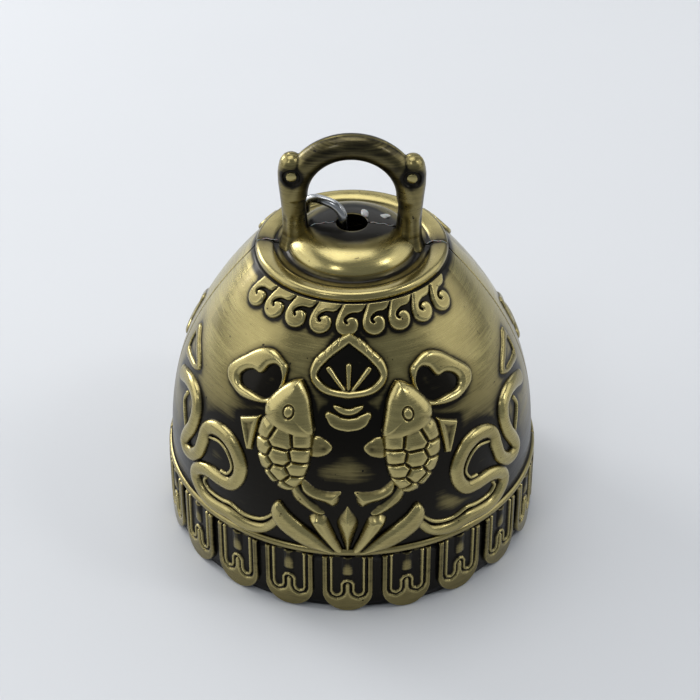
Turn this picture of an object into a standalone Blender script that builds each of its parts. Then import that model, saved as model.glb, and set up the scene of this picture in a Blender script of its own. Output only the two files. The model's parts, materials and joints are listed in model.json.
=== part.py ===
"""Small cast temple bell, about 50 mm across.

Two half castings, split on the XZ plane, are held together by a pin through
each shoulder of the handle. A steel wire hanger passes through the hole in
the crown; inside, a wire link and a cast clapper hang from its eye.

Frame: metres, +Z up, front of the bell towards -Y, origin on the bell's axis
at the level that the skirt's tongues stand on.
"""
import math

import bmesh
import bpy
from mathutils import Matrix, Vector

MM = 0.001

# Body
BODY_RADIUS = 24.37 * MM       # outside of the wall just above the bead
WALL = 1.7 * MM                # wall of both half castings
SEAM = 0.3 * MM                # gap between the half castings
BEAD_PROUD = 0.1 * MM          # middle of the bead outside the wall
BEAD_HEIGHT = 9.9 * MM         # middle of the bead, above the resting plane
BEAD_RADIUS = 0.55 * MM        # half the bead's thickness
SHOULDER_HEIGHT = 40.1 * MM    # where the wall runs in under the flange
DOME_SHARE = 0.69108           # part of its curve that the wall follows
DOME_REACH = (SHOULDER_HEIGHT - BEAD_HEIGHT) / DOME_SHARE
DOME_FULLNESS = 2.42           # how long the wall stays upright
DOME_CLOSE = 1.23              # how fast the wall closes at the top
WALL_STEPS = 9
TURN_STEPS = 60                # facets round the bell

# Skirt tongues
TONGUE_COUNT = 20
TONGUE_SHARE = 0.86            # part of the spacing that one tongue fills
TONGUE_PROUD = 0.65 * MM       # how far a tongue stands out of the wall
TONGUE_SUNK = 0.5 * MM         # how far it reaches into the wall
TONGUE_TOP = 8.9 * MM
TIP_FLAT = 0.36                # flat share of a tongue's tip
TIP_HEIGHT = 3.0 * MM          # height of the rounded tip
SKIRT_LIFT = 0.4 * MM          # the wall's lower edge above the tips

# Crown
FLANGE_RADIUS = 11.64 * MM     # middle of the flange's round rim
FLANGE_HEIGHT = SHOULDER_HEIGHT + 0.7 * MM
FLANGE_EDGE = 0.75 * MM        # half the rim's thickness
FLANGE_ROLL = 1.3 * MM         # width of the rim's rounded top
FLANGE_FALL = 0.1 * MM         # fall of that top towards the cap
TROUGH_WIDTH = 2.84 * MM       # from the flange's rim to the foot of the cap
TROUGH_DEPTH = 0.3 * MM
TROUGH_INSET = 0.5 * MM        # bottom of the trough outside the foot of the cap
CAP_RADIUS = FLANGE_RADIUS - TROUGH_WIDTH
CAP_FOOT = FLANGE_HEIGHT + 0.6 * MM
CAP_RISE = 2.9 * MM
CAP_FULLNESS = 2.6             # how long the cap's top stays level
CAP_CLOSE = 0.6                # how steeply the cap ends at its foot
CAP_SPACING = 1.6              # closes up the cap's rings towards its foot
CAP_STEPS = 4
CEILING_DROP = 0.6 * MM        # ceiling's fall from the hole to its edge
CEILING_INSET = 2.464 * MM     # edge of the ceiling inside the cap's foot
HOLE_RADIUS = 2.0 * MM         # hole for the hanger

# Handle, in the XZ plane
ARCH_INNER = 5.6 * MM          # inside radius of the arch
ARCH_THICKNESS = 3.35 * MM
ARCH_DEPTH = 3.5 * MM          # front to back
ARCH_HEIGHT = CAP_FOOT + 6.85 * MM          # centre of the arch
LEG_SPREAD = ARCH_INNER + 1.95 * MM         # leg's middle from the axis, at the pin
LEG_FOOT_SPREAD = LEG_SPREAD - 0.25 * MM
LEG_THICKNESS = 3.5 * MM
LEG_FOOT_THICKNESS = 3.2 * MM
LEG_SUNK = 0.2 * MM            # foot of a leg above the foot of the cap, inside it
LEG_FLARE = 1.0 * MM           # height of a leg's foot above the cap
SHOULDER_BELOW_PIN = 2.5 * MM  # where a leg reaches its full thickness
KNOB_ABOVE_PIN = 0.8 * MM      # where its rounded top starts
KNOB_TURN = 27.0               # degrees between the rings of the rounded top
PIN_HEIGHT = ARCH_HEIGHT + 3.5 * MM
LEG_TOP = PIN_HEIGHT + 2.65 * MM
PIN_RADIUS = 0.68 * MM
PIN_PLAY = 0.15 * MM
PIN_RECESS_WIDTH = 0.37 * MM    # gap round the pin in its recess
PIN_RECESS_RADIUS = PIN_RADIUS + PIN_RECESS_WIDTH
PIN_RECESS_DEPTH = 0.35 * MM
PIN_SHORT = 0.1 * MM           # end of a pin below the face of the handle
PIN_DOME = 0.15 * MM           # rounding of a pin's end
PIN_STEPS = 12

# Wirework and clapper
WIRE_RADIUS = 0.62 * MM
EYE_INNER = 1.28 * MM          # inside radius of an eye
EYE_RADIUS = EYE_INNER + WIRE_RADIUS
EYE_PLAY = 0.25 * MM           # clearance between two linked eyes
EYE_FILLET = 0.38 * MM + WIRE_RADIUS   # bend from an eye into its shank
EYE_END = -233.0               # degrees at which an eye's wire ends
HANGER_PLAY = 0.28 * MM        # clearance of the hanger at the left of its hole
HANGER_OFFSET = HANGER_PLAY + WIRE_RADIUS - HOLE_RADIUS
HOOK_RADIUS = 2.8 * MM         # half the reach of the hanger's hook over the crown
HOOK_RISE = 2.4 * MM
HOOK_SQUARE = 0.75             # 1 for an oval bend, less for a squarer one
HOOK_STEPS = 18
HOOK_HEIGHT = CAP_FOOT + 2.8 * MM      # centre of that bend
HOOK_TURN = 152.0              # degrees from +X: the hook lies left and back
HANGER_PIVOT = CAP_FOOT - 5.8 * MM     # wire centre line at the bottom of its eye
LINK_LENGTH = 12.0 * MM        # from the hanger's pivot to the clapper's
BOB_DROP = 13.2 * MM           # from the clapper's pivot to the bob's widest
BOB_RADIUS = 4.6 * MM
BOB_LENGTH = 9.5 * MM
STEM_DEPTH = 4.0 * MM          # how far the stem sits in the bob
STEM_PLAY = 0.15 * MM
BOB_NECK_WALL = 0.93 * MM      # metal round the stem's bore
BOB_NECK_RADIUS = WIRE_RADIUS + STEM_PLAY + BOB_NECK_WALL
BOB_SHARE = 0.62               # place of the bob's flank, as a share of its radius
BOB_LIP = 0.6 * MM             # height of the neck's rounded lip
BOB_LIP_SHARE = 0.85
BOB_STEPS = 20
WIRE_SIDES = 2                 # bevel resolution of the wires

OVERCUT = 1.0 * MM

BRONZE = ("antique bronze", (0.30, 0.25, 0.13), 0.42)
STEEL = ("bright steel", (0.62, 0.64, 0.66), 0.22)
CLAPPER_METAL = ("clapper bronze", (0.34, 0.28, 0.16), 0.5)


def clear_scene():
    """Remove whatever objects the scene holds."""
    for old in list(bpy.data.objects):
        bpy.data.objects.remove(old, do_unlink=True)


def metal(name, colour, roughness):
    """A plain metal material, made once for each name."""
    found = bpy.data.materials.get(name)
    if found:
        return found
    made = bpy.data.materials.new(name)
    made.use_nodes = True
    shader = made.node_tree.nodes["Principled BSDF"]
    shader.inputs["Base Color"].default_value = (*colour, 1.0)
    shader.inputs["Metallic"].default_value = 1.0
    shader.inputs["Roughness"].default_value = roughness
    return made


def add_object(name, data, finish=None):
    """Link an object that holds data, with its material."""
    made = bpy.data.objects.new(name, data)
    bpy.context.scene.collection.objects.link(made)
    if finish:
        data.materials.append(metal(*finish))
    return made


def mesh_object(name, bm, finish=None, smooth_angle=35.0):
    """Turn a bmesh into an object with smooth round faces."""
    bmesh.ops.recalc_face_normals(bm, faces=bm.faces)
    mesh = bpy.data.meshes.new(name)
    bm.to_mesh(mesh)
    bm.free()
    made = add_object(name, mesh, finish)
    mesh.shade_smooth()
    mesh.set_sharp_from_angle(angle=math.radians(smooth_angle))
    return made


def as_guide(guide):
    """Hide a cutter or a piece that is only joined into another."""
    guide.hide_render = True
    guide.display_type = 'WIRE'
    return guide


def combine(target, tool, operation):
    """Add a Boolean modifier that uses tool on target."""
    step = target.modifiers.new(tool.name, 'BOOLEAN')
    step.operation = operation
    step.solver = 'EXACT'
    step.object = as_guide(tool)


def turned(outline, steps):
    """A bmesh solid from a closed outline of (radius, height), turned about Z."""
    bm = bmesh.new()
    corners = [bm.verts.new((radius, 0.0, height)) for radius, height in outline]
    pairs = zip(corners, corners[1:] + corners[:1])
    edges = [bm.edges.new(pair) for pair in pairs if max(v.co.x for v in pair) > 0.0]
    bmesh.ops.spin(bm, geom=corners + edges, cent=(0, 0, 0), axis=(0, 0, 1),
                   angle=math.tau, steps=steps, use_merge=True)
    bmesh.ops.remove_doubles(bm, verts=bm.verts, dist=0.001 * MM)
    return bm


def arc(centre, radius, start, end, steps):
    """Points on an arc in a plane; angles in degrees."""
    angles = [math.radians(start + (end - start) * i / steps) for i in range(steps + 1)]
    return [(centre[0] + radius * math.cos(a), centre[1] + radius * math.sin(a))
            for a in angles]


def wall_radius(height):
    """Outside radius of the bell's wall at a height above the resting plane."""
    rise = max(height - BEAD_HEIGHT, 0.0) / DOME_REACH
    return BODY_RADIUS * (1.0 - rise ** DOME_FULLNESS) ** DOME_CLOSE


def cap_height(radius, rise):
    """Height of the cap's rounded top above its foot."""
    return rise * (1.0 - (radius / CAP_RADIUS) ** CAP_FULLNESS) ** CAP_CLOSE


def casting_outline():
    """Section of the whole casting: outside from the mouth up, then inside down."""
    bead_foot = BEAD_HEIGHT - BEAD_RADIUS
    outline = [(BODY_RADIUS, SKIRT_LIFT), (BODY_RADIUS, bead_foot)]
    bead = arc((BODY_RADIUS + BEAD_PROUD, BEAD_HEIGHT), BEAD_RADIUS, -80, 80, 3)
    outline += bead
    wall_foot = BEAD_HEIGHT + BEAD_RADIUS
    heights = [wall_foot + (SHOULDER_HEIGHT - wall_foot) * i / WALL_STEPS
               for i in range(WALL_STEPS + 1)]
    outline += [(wall_radius(height), height) for height in heights]
    outline += arc((FLANGE_RADIUS, FLANGE_HEIGHT), FLANGE_EDGE, -60, 95, 5)
    outline += [(FLANGE_RADIUS - FLANGE_ROLL, FLANGE_HEIGHT + FLANGE_EDGE - FLANGE_FALL),
                (CAP_RADIUS + TROUGH_INSET, CAP_FOOT - TROUGH_DEPTH)]
    cap_width = CAP_RADIUS - HOLE_RADIUS
    cap_radii = [CAP_RADIUS - cap_width * (i / CAP_STEPS) ** CAP_SPACING
                 for i in range(CAP_STEPS + 1)]
    outline += [(r, CAP_FOOT + cap_height(r, CAP_RISE)) for r in cap_radii]
    ceiling = CAP_FOOT + CAP_RISE - WALL
    outline += [(HOLE_RADIUS, ceiling), (CAP_RADIUS - CEILING_INSET, ceiling - CEILING_DROP)]
    inside = [height for height in reversed(heights) if height < SHOULDER_HEIGHT - WALL]
    outline += [(wall_radius(height) - WALL, height) for height in inside[::2]]
    outline += [(BODY_RADIUS - WALL, BEAD_HEIGHT), (BODY_RADIUS - WALL, SKIRT_LIFT)]
    return outline


def tongue_outline():
    """Half a tongue as (share of half width, height), from the tip's flat up."""
    tip = [(TIP_FLAT, 0.0)]
    for i in (1, 2, 3):
        turn = math.radians(30 * i)
        tip.append((TIP_FLAT + (1.0 - TIP_FLAT) * math.sin(turn),
                    TIP_HEIGHT * (1.0 - math.cos(turn))))
    return tip + [(1.0, TONGUE_TOP)]


def skirt_tongues():
    """The ring of separate tongues that stand out of the skirt."""
    half = math.pi / TONGUE_COUNT * TONGUE_SHARE
    right = tongue_outline()
    outline = right + [(-x, z) for x, z in reversed(right)]
    radii = (BODY_RADIUS - TONGUE_SUNK, BODY_RADIUS + TONGUE_PROUD)
    bm = bmesh.new()
    for k in range(TONGUE_COUNT):
        middle = math.tau * k / TONGUE_COUNT
        rings = []
        for radius in radii:
            turns = [(middle + share * half, height) for share, height in outline]
            rings.append([bm.verts.new((radius * math.sin(t), -radius * math.cos(t), z))
                          for t, z in turns])
        stitch_tongue(bm, rings)
    return as_guide(mesh_object("tongues", bm))


def stitch_tongue(bm, rings):
    """Close a tongue: the rim between its two outlines, and a strip at each level."""
    inner, outer = rings
    count = len(inner)
    for i in range(count):
        j = (i + 1) % count
        bm.faces.new((inner[i], inner[j], outer[j], outer[i]))
    for ring in rings:
        for i in range(count // 2 - 1):
            bm.faces.new((ring[i], ring[i + 1], ring[-2 - i], ring[-1 - i]))


def handle_arch():
    """Half ring of the handle."""
    middle = ARCH_INNER + ARCH_THICKNESS / 2
    bm = bmesh.new()
    bmesh.ops.create_circle(bm, cap_ends=True, segments=12, radius=0.5)
    flatten = Matrix.Diagonal((ARCH_THICKNESS, ARCH_DEPTH, 1.0, 1.0))
    bmesh.ops.transform(bm, matrix=flatten, verts=bm.verts)
    bmesh.ops.translate(bm, vec=(middle, 0, ARCH_HEIGHT), verts=bm.verts)
    bmesh.ops.spin(bm, geom=bm.faces[:], cent=(0, 0, ARCH_HEIGHT), axis=(0, -1, 0),
                   angle=math.pi, steps=14)
    return as_guide(mesh_object("arch", bm))


def handle_leg(side):
    """One leg with its rounded top, from inside the crown to the shoulder."""
    foot = CAP_FOOT + LEG_SUNK
    levels = [(foot, LEG_FOOT_SPREAD, LEG_FOOT_THICKNESS),
              (CAP_FOOT + CAP_RISE + LEG_FLARE, LEG_FOOT_SPREAD, LEG_FOOT_THICKNESS),
              (PIN_HEIGHT - SHOULDER_BELOW_PIN, LEG_SPREAD, LEG_THICKNESS),
              (PIN_HEIGHT + KNOB_ABOVE_PIN, LEG_SPREAD, LEG_THICKNESS)]
    knob = LEG_TOP - levels[-1][0]
    last = math.sin(math.radians(3 * KNOB_TURN))
    for i in (1, 2, 3):
        turn = math.radians(KNOB_TURN * i)
        levels.append((levels[3][0] + knob * math.sin(turn) / last, LEG_SPREAD,
                       LEG_THICKNESS * math.cos(turn)))
    bm = bmesh.new()
    rings = [leg_ring(bm, side, *level) for level in levels]
    for low, high in zip(rings, rings[1:]):
        for i in range(len(low)):
            j = (i + 1) % len(low)
            bm.faces.new((low[i], low[j], high[j], high[i]))
    bm.faces.new(rings[0])
    bm.faces.new(rings[-1])
    return as_guide(mesh_object(f"leg_{side}", bm))


def leg_ring(bm, side, height, spread, thickness):
    """One cross-section of a leg."""
    depth = min(ARCH_DEPTH, thickness) / 2
    ring = []
    for i in range(12):
        turn = math.tau * (i + 0.5) / 12
        ring.append(bm.verts.new((side * spread + thickness / 2 * math.cos(turn),
                                  depth * math.sin(turn), height)))
    return ring


def pin_seat(name, side):
    """Cutter for one pin bore with a wider recess at each face of the handle."""
    end = ARCH_DEPTH / 2 + OVERCUT
    step = ARCH_DEPTH / 2 - PIN_RECESS_DEPTH
    bore = PIN_RADIUS + PIN_PLAY
    outline = [(0.0, -end), (PIN_RECESS_RADIUS, -end), (PIN_RECESS_RADIUS, -step),
               (bore, -step), (bore, step), (PIN_RECESS_RADIUS, step),
               (PIN_RECESS_RADIUS, end), (0.0, end)]
    seat = mesh_object(name, turned(outline, PIN_STEPS))
    lay_across(seat, side)
    return as_guide(seat)


def lay_across(piece, side):
    """Lay a piece made along Z through a shoulder of the handle."""
    piece.location = (side * LEG_SPREAD, 0, PIN_HEIGHT)
    piece.rotation_euler = (math.pi / 2, 0, 0)


def half_space(name, side):
    """A box that holds everything on one side of the seam."""
    reach = 2 * BODY_RADIUS
    bm = bmesh.new()
    bmesh.ops.create_cube(bm, size=2 * reach)
    middle = (0, side * (reach + SEAM / 2), reach / 2)
    bmesh.ops.translate(bm, vec=middle, verts=bm.verts)
    return as_guide(mesh_object(name, bm))


def half_castings():
    """Front and rear halves: the whole casting, cut at the seam."""
    joined = [skirt_tongues(), handle_arch(), handle_leg(-1), handle_leg(1)]
    seats = [pin_seat("left_seat", -1), pin_seat("right_seat", 1)]
    for name, side in (("front_half", -1), ("rear_half", 1)):
        half = mesh_object(name, turned(casting_outline(), TURN_STEPS), BRONZE)
        for piece in joined:
            combine(half, piece, 'UNION')
        for seat in seats:
            combine(half, seat, 'DIFFERENCE')
        combine(half, half_space(f"{name}_space", side), 'INTERSECT')


def handle_pins():
    """The pins through the handle's shoulders, with slightly domed ends."""
    length = ARCH_DEPTH - 2 * PIN_SHORT
    outline = [(0.0, -length / 2), (0.7 * PIN_RADIUS, -length / 2),
               (PIN_RADIUS, PIN_DOME - length / 2), (PIN_RADIUS, length / 2 - PIN_DOME),
               (0.7 * PIN_RADIUS, length / 2), (0.0, length / 2)]
    for name, side in (("left_pin", -1), ("right_pin", 1)):
        lay_across(mesh_object(name, turned(outline, PIN_STEPS), BRONZE), side)


def eye_route(radius=EYE_RADIUS):
    """Flat route of an eye, centred on (0, 0), from its shank on +Y round to its tip."""
    rise = math.sqrt(radius ** 2 + 2 * radius * EYE_FILLET)
    meet = math.degrees(math.atan2(rise, EYE_FILLET))
    bend = arc((EYE_FILLET, rise), EYE_FILLET, 180, 180 + meet, 4)
    ring = arc((0, 0), radius, meet, EYE_END, 20)
    return bend + ring[1:]


def wire(name, route, parent, finish=STEEL):
    """A round wire along a route given relative to its parent's place."""
    curve = bpy.data.curves.new(name, 'CURVE')
    curve.dimensions = '3D'
    curve.bevel_depth = WIRE_RADIUS
    curve.bevel_resolution = WIRE_SIDES
    curve.use_fill_caps = True
    line = curve.splines.new('POLY')
    line.points.add(len(route) - 1)
    for point, place in zip(line.points, route):
        point.co = (*place, 1.0)
    made = add_object(name, curve, finish)
    made.parent = parent
    return made


def pivot(name, place, parent=None):
    """An empty on a joint's axis."""
    made = bpy.data.objects.new(name, None)
    bpy.context.scene.collection.objects.link(made)
    made.empty_display_size = 3 * MM
    made.location = place
    made.parent = parent
    return made


def hanger_hook(carrier):
    """Hook over the crown, shank through its hole, and eye inside; origin at the hook."""
    aim = math.radians(HOOK_TURN)
    hook = []
    for x, z in arc((0, 0), 1.0, 180, 0, HOOK_STEPS):
        reach = HOOK_RADIUS * (1.0 - math.copysign(abs(x) ** HOOK_SQUARE, x))
        hook.append((reach * math.cos(aim), reach * math.sin(aim),
                     HOOK_RISE * max(z, 0.0) ** HOOK_SQUARE))
    eye_centre = HANGER_PIVOT + EYE_RADIUS - HOOK_HEIGHT
    eye = [(x, 0.0, eye_centre + z) for x, z in eye_route()]
    return wire("hanger_hook", hook + eye, carrier)


def clapper_link(carrier):
    """Wire link with an eye at each end; origin on the hanger's pivot."""
    seat = 2 * WIRE_RADIUS + EYE_PLAY
    top = seat - EYE_RADIUS
    bottom = EYE_RADIUS - LINK_LENGTH
    upper = [(0.0, y, top - z) for y, z in eye_route()]
    lower = [(0.0, -y, bottom + z) for y, z in eye_route()]
    return wire("clapper_link", upper[::-1] + lower, carrier)


def clapper_stem(carrier):
    """Wire eye and shank that hold the bob; origin on the clapper's pivot."""
    seat = 2 * WIRE_RADIUS + EYE_PLAY
    top = seat - EYE_RADIUS
    end = bob_top() - STEM_DEPTH + STEM_PLAY
    eye = [(x, 0.0, top - z) for x, z in eye_route()]
    return wire("clapper_stem", eye[::-1] + [(0.0, 0.0, end)], carrier)


def bob_top():
    """Top of the bob, relative to the clapper's pivot."""
    return BOB_LENGTH - BOB_RADIUS - BOB_DROP


def clapper_bob(carrier):
    """Drop-shaped striker with a blind bore for the stem."""
    top = bob_top()
    bore = WIRE_RADIUS + STEM_PLAY
    lower = arc((0.0, -BOB_DROP), BOB_RADIUS, -90, 15, 7)
    outline = [(max(r, 0.0), z) for r, z in lower]
    outline += [(BOB_SHARE * BOB_RADIUS, -BOB_DROP + BOB_SHARE * BOB_RADIUS),
                (BOB_NECK_RADIUS, top - BOB_LIP), (BOB_NECK_RADIUS * BOB_LIP_SHARE, top),
                (bore, top), (bore, top - STEM_DEPTH), (0.0, top - STEM_DEPTH)]
    made = mesh_object("clapper_bob", turned(outline, BOB_STEPS), CLAPPER_METAL)
    made.parent = carrier
    return made


def hanging_parts():
    """Hanger, link and clapper, each on the axis that it turns about."""
    hanger = pivot("hanger_axis", (HANGER_OFFSET, 0, HOOK_HEIGHT))
    link = pivot("link_axis", (0, 0, HANGER_PIVOT - HOOK_HEIGHT), hanger)
    clapper = pivot("clapper_axis", (0, 0, -LINK_LENGTH), link)
    hanger_hook(hanger)
    clapper_link(link)
    clapper_stem(clapper)
    clapper_bob(clapper)


def main():
    clear_scene()
    half_castings()
    handle_pins()
    hanging_parts()
    bpy.context.view_layer.update()


main()
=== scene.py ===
"""Looks of a small cast temple bell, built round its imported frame.

Each half casting is made of a turned wall, a skirt of separate tongues, a crown,
half of the handle, and relief pieces that stand out of the wall. Sizes are in
metres and turns round the bell in degrees from its front.
"""
import json
import math

import bmesh
import bpy
import numpy as np
from mathutils import Matrix, Vector


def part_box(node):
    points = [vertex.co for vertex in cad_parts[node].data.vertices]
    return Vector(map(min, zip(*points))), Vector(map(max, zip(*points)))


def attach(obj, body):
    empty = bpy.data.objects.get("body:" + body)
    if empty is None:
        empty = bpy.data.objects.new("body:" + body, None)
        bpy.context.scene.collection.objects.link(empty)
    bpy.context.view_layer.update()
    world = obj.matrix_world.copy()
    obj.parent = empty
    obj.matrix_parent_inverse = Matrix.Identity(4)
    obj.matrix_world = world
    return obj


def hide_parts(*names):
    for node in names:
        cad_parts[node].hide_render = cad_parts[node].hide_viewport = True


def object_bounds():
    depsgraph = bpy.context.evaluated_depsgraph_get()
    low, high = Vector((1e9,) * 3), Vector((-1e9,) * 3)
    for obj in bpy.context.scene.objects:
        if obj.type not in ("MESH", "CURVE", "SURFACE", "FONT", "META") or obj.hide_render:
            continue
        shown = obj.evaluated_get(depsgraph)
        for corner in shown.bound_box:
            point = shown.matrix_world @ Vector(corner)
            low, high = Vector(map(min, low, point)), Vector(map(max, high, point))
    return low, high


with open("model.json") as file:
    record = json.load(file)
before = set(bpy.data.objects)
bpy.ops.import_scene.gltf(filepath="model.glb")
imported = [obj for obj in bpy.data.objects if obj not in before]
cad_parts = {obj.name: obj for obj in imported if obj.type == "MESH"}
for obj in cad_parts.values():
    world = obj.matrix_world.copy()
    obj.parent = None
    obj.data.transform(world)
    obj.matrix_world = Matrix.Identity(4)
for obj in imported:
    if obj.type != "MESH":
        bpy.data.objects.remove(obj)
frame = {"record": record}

bl_info = {
    "name": "Temple bell",
    "version": (1, 0, 0),
    "blender": (4, 5, 0),
    "location": "View3D > Sidebar > Bell",
    "description": "Relief, handle, wirework and finishes of a small cast temple bell",
    "category": "Add Mesh",
}

MM = 0.001
CAD_BOX = [list(corner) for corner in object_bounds()]
HALVES = {"front": 0.0, "rear": 180.0}
PINS = {"left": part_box("left_pin"), "right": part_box("right_pin")}

# Outlines on the left of the front: (degrees from the front, millimetres up)
FISH = [(-20.2, 32.3), (-24.8, 31.7), (-28.8, 30.5), (-31.0, 29.1), (-30.6, 27.9),
        (-32.2, 26.9), (-32.8, 24.9), (-31.9, 23.1), (-29.8, 21.4), (-26.8, 20.1),
        (-23.8, 19.2), (-19.8, 18.8), (-16.8, 19.3), (-14.8, 20.4), (-13.2, 21.9),
        (-12.5, 23.9), (-12.4, 25.9), (-12.5, 26.8), (-13.7, 28.9), (-15.4, 30.7),
        (-17.8, 31.9)]
FISH_HEAD = [(-20.2, 32.5), (-24.8, 31.9), (-28.9, 30.6), (-31.7, 29.1), (-31.2, 27.7),
             (-26.8, 27.0), (-20.8, 26.5), (-15.8, 26.3), (-11.8, 26.6), (-13.2, 28.9),
             (-14.9, 30.8), (-17.8, 32.1)]
FISH_SCALES = [(-22.8, 25.4), (-22.8, 23.4), (-22.3, 21.3), (-30.4, 26.1), (-29.9, 24.0),
               (-28.7, 22.1), (-25.9, 20.2), (-15.1, 25.7), (-15.3, 23.9), (-16.3, 22.1),
               (-17.2, 20.3), (-20.5, 19.3)]
FISH_EYE = [(-21.1, 28.9)]
EAR = [(-25.2, 32.9), (-28.8, 34.0), (-34.8, 34.6), (-40.8, 34.1), (-45.8, 32.9),
       (-51.8, 30.9), (-50.8, 29.5), (-46.8, 28.7), (-40.8, 28.2), (-31.8, 28.6),
       (-26.8, 29.5)]
EAR_HOLE = [(-26.8, 31.8), (-29.6, 33.1), (-33.6, 32.9), (-36.4, 31.7), (-40.2, 31.7),
            (-43.6, 31.2), (-45.4, 30.3), (-43.4, 29.5), (-38.8, 29.3), (-32.0, 29.2),
            (-28.4, 30.2)]
FIN = [(-32.0, 27.2), (-40.2, 26.0), (-35.2, 22.3), (-33.0, 22.5)]
SMALL_FIN = [(-12.4, 26.1), (-8.6, 26.2), (-5.2, 25.1), (-7.6, 24.0), (-12.4, 23.8)]
TAIL_UPPER = [(-15.4, 20.9), (-13.4, 20.4), (-10.4, 19.6), (-6.8, 19.25), (-2.2, 19.3),
              (-2.5, 18.5), (-2.9, 17.6), (-4.6, 17.0), (-7.6, 17.5), (-11.4, 17.9),
              (-15.0, 18.9)]
TAIL_LOWER = [(-18.4, 19.8), (-16.2, 19.9), (-13.0, 18.6), (-10.2, 17.4), (-7.0, 16.0),
              (-9.4, 15.6), (-13.8, 16.5), (-17.6, 17.8)]
JEWEL = [(0.0, 37.6), (-5.8, 36.9), (-9.8, 35.9), (-13.6, 34.9), (-15.1, 33.9),
         (-15.1, 33.1), (-13.2, 32.1), (-8.8, 31.3), (0.0, 30.9)]
JEWEL_HOLE = [(0.0, 36.6), (-7.8, 35.1), (-12.3, 33.5), (-11.2, 32.7), (-6.8, 31.9),
              (0.0, 31.6)]
STAMENS = [[(0.0, 31.9), (0.0, 34.3)], [(-1.7, 31.8), (-8.3, 33.9)]]
CRESCENTS = [([(-4.9, 29.95), (-1.8, 29.5), (0.0, 29.4)], 0.50),
             ([(-7.0, 28.9), (-3.8, 28.15), (0.0, 27.9)], 0.90)]
MIDDLE_PETAL = [(0.0, 17.2), (-2.8, 15.5), (-3.4, 14.4), (-2.2, 12.4), (-0.6, 9.9)]
SECOND_PETAL = [(-8.4, 15.9), (-10.6, 15.8), (-12.3, 15.1), (-11.4, 13.9), (-8.4, 12.1),
                (-4.2, 9.9), (-0.9, 9.9), (-3.0, 12.2), (-4.9, 14.2), (-6.3, 15.4)]
OUTER_PETAL = [(-21.6, 16.7), (-23.8, 16.2), (-24.6, 14.8), (-22.9, 13.1), (-18.8, 11.7),
               (-12.8, 10.4), (-6.8, 9.8), (-3.0, 9.8), (-6.8, 11.5), (-10.6, 12.9),
               (-14.4, 14.0), (-18.4, 15.3)]
CLOUD = [(-21.8, 14.0), (-25.8, 12.1), (-29.8, 11.3), (-34.8, 11.1), (-40.8, 11.5),
         (-48.8, 11.3), (-53.8, 11.9), (-57.2, 13.2), (-57.0, 14.5), (-54.2, 15.5),
         (-49.8, 16.1), (-44.8, 16.1), (-39.8, 16.4), (-36.9, 18.1), (-37.2, 20.1),
         (-40.8, 21.9), (-45.8, 22.7), (-50.8, 22.5), (-54.0, 21.5), (-55.0, 19.4),
         (-56.4, 17.6), (-59.8, 16.3), (-63.6, 16.1), (-65.6, 16.9), (-64.6, 18.2),
         (-62.1, 20.0), (-61.2, 22.0), (-63.0, 23.8), (-68.0, 24.6), (-74.0, 24.4),
         (-80.0, 23.6)]
CLOUD_LINES = [[(-51.8, 20.9), (-46.8, 21.2), (-42.8, 20.5), (-40.2, 18.9), (-41.8, 17.5),
                (-44.5, 17.3)],
               [(-51.8, 14.6), (-52.5, 13.8), (-49.8, 13.0), (-43.8, 12.9), (-39.8, 13.1),
                (-34.8, 12.5), (-28.8, 12.8), (-24.8, 14.0), (-22.5, 15.6)],
               [(-66.5, 18.8), (-69.0, 20.2), (-71.5, 21.8), (-70.5, 23.0)]]
FLAME = [(-67.6, 27.1), (-71.0, 28.3), (-76.0, 29.2), (-84.5, 30.2), (-84.5, 26.0),
         (-78.0, 25.9), (-72.0, 26.2)]
FLAME_HOLE = [(-71.4, 27.1), (-76.0, 28.0), (-83.2, 28.9), (-83.2, 27.0), (-77.0, 26.9)]


def size(label, note, metres):
    """A length that the user can change."""
    return bpy.props.FloatProperty(name=label, description=note, default=metres,
                                   unit='LENGTH', precision=5)


def tint(label, note, colour):
    """A colour that the user can change."""
    return bpy.props.FloatVectorProperty(name=label, description=note, subtype='COLOR',
                                         default=colour, min=0, max=1)


class BellBody(bpy.types.PropertyGroup):
    """Sizes of the turned castings."""
    radius: size("Wall radius", "Outside of the wall just above the bead", 24.37 * MM)
    wall: size("Wall", "Thickness of both half castings", 1.7 * MM)
    seam: size("Seam", "Gap between the half castings", 0.3 * MM)
    lift: size("Lift", "Wall's lower edge above the tips of the tongues", 0.4 * MM)
    bead_height: size("Bead height", "Middle of the bead round the mouth", 9.9 * MM)
    bead_radius: size("Bead radius", "Half the thickness of the bead", 0.55 * MM)
    shoulder: size("Shoulder height", "Where the wall runs in under the flange", 40.1 * MM)
    dome_reach: size("Dome reach", "Height over which the wall's curve would close", 43.7 * MM)
    fullness: bpy.props.FloatProperty(
        name="Fullness", description="How long the wall stays upright", default=2.42)
    closing: bpy.props.FloatProperty(
        name="Closing", description="How fast the wall closes at the top", default=1.23)
    tongues: bpy.props.IntProperty(
        name="Tongues", description="Tongues round the skirt", default=20)
    flange_radius: size("Flange radius", "Middle of the flange's round rim", 11.64 * MM)
    flange_height: size("Flange height", "Middle of the flange's rim", 40.8 * MM)
    cap_radius: size("Cap radius", "Foot of the cap inside the flange", 8.8 * MM)
    cap_foot: size("Cap foot", "Height of the cap's foot", 41.4 * MM)
    cap_rise: size("Cap rise", "Height of the cap above its foot", 2.9 * MM)
    hole: size("Hole radius", "Hole in the crown for the hanger", 2.0 * MM)


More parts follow.
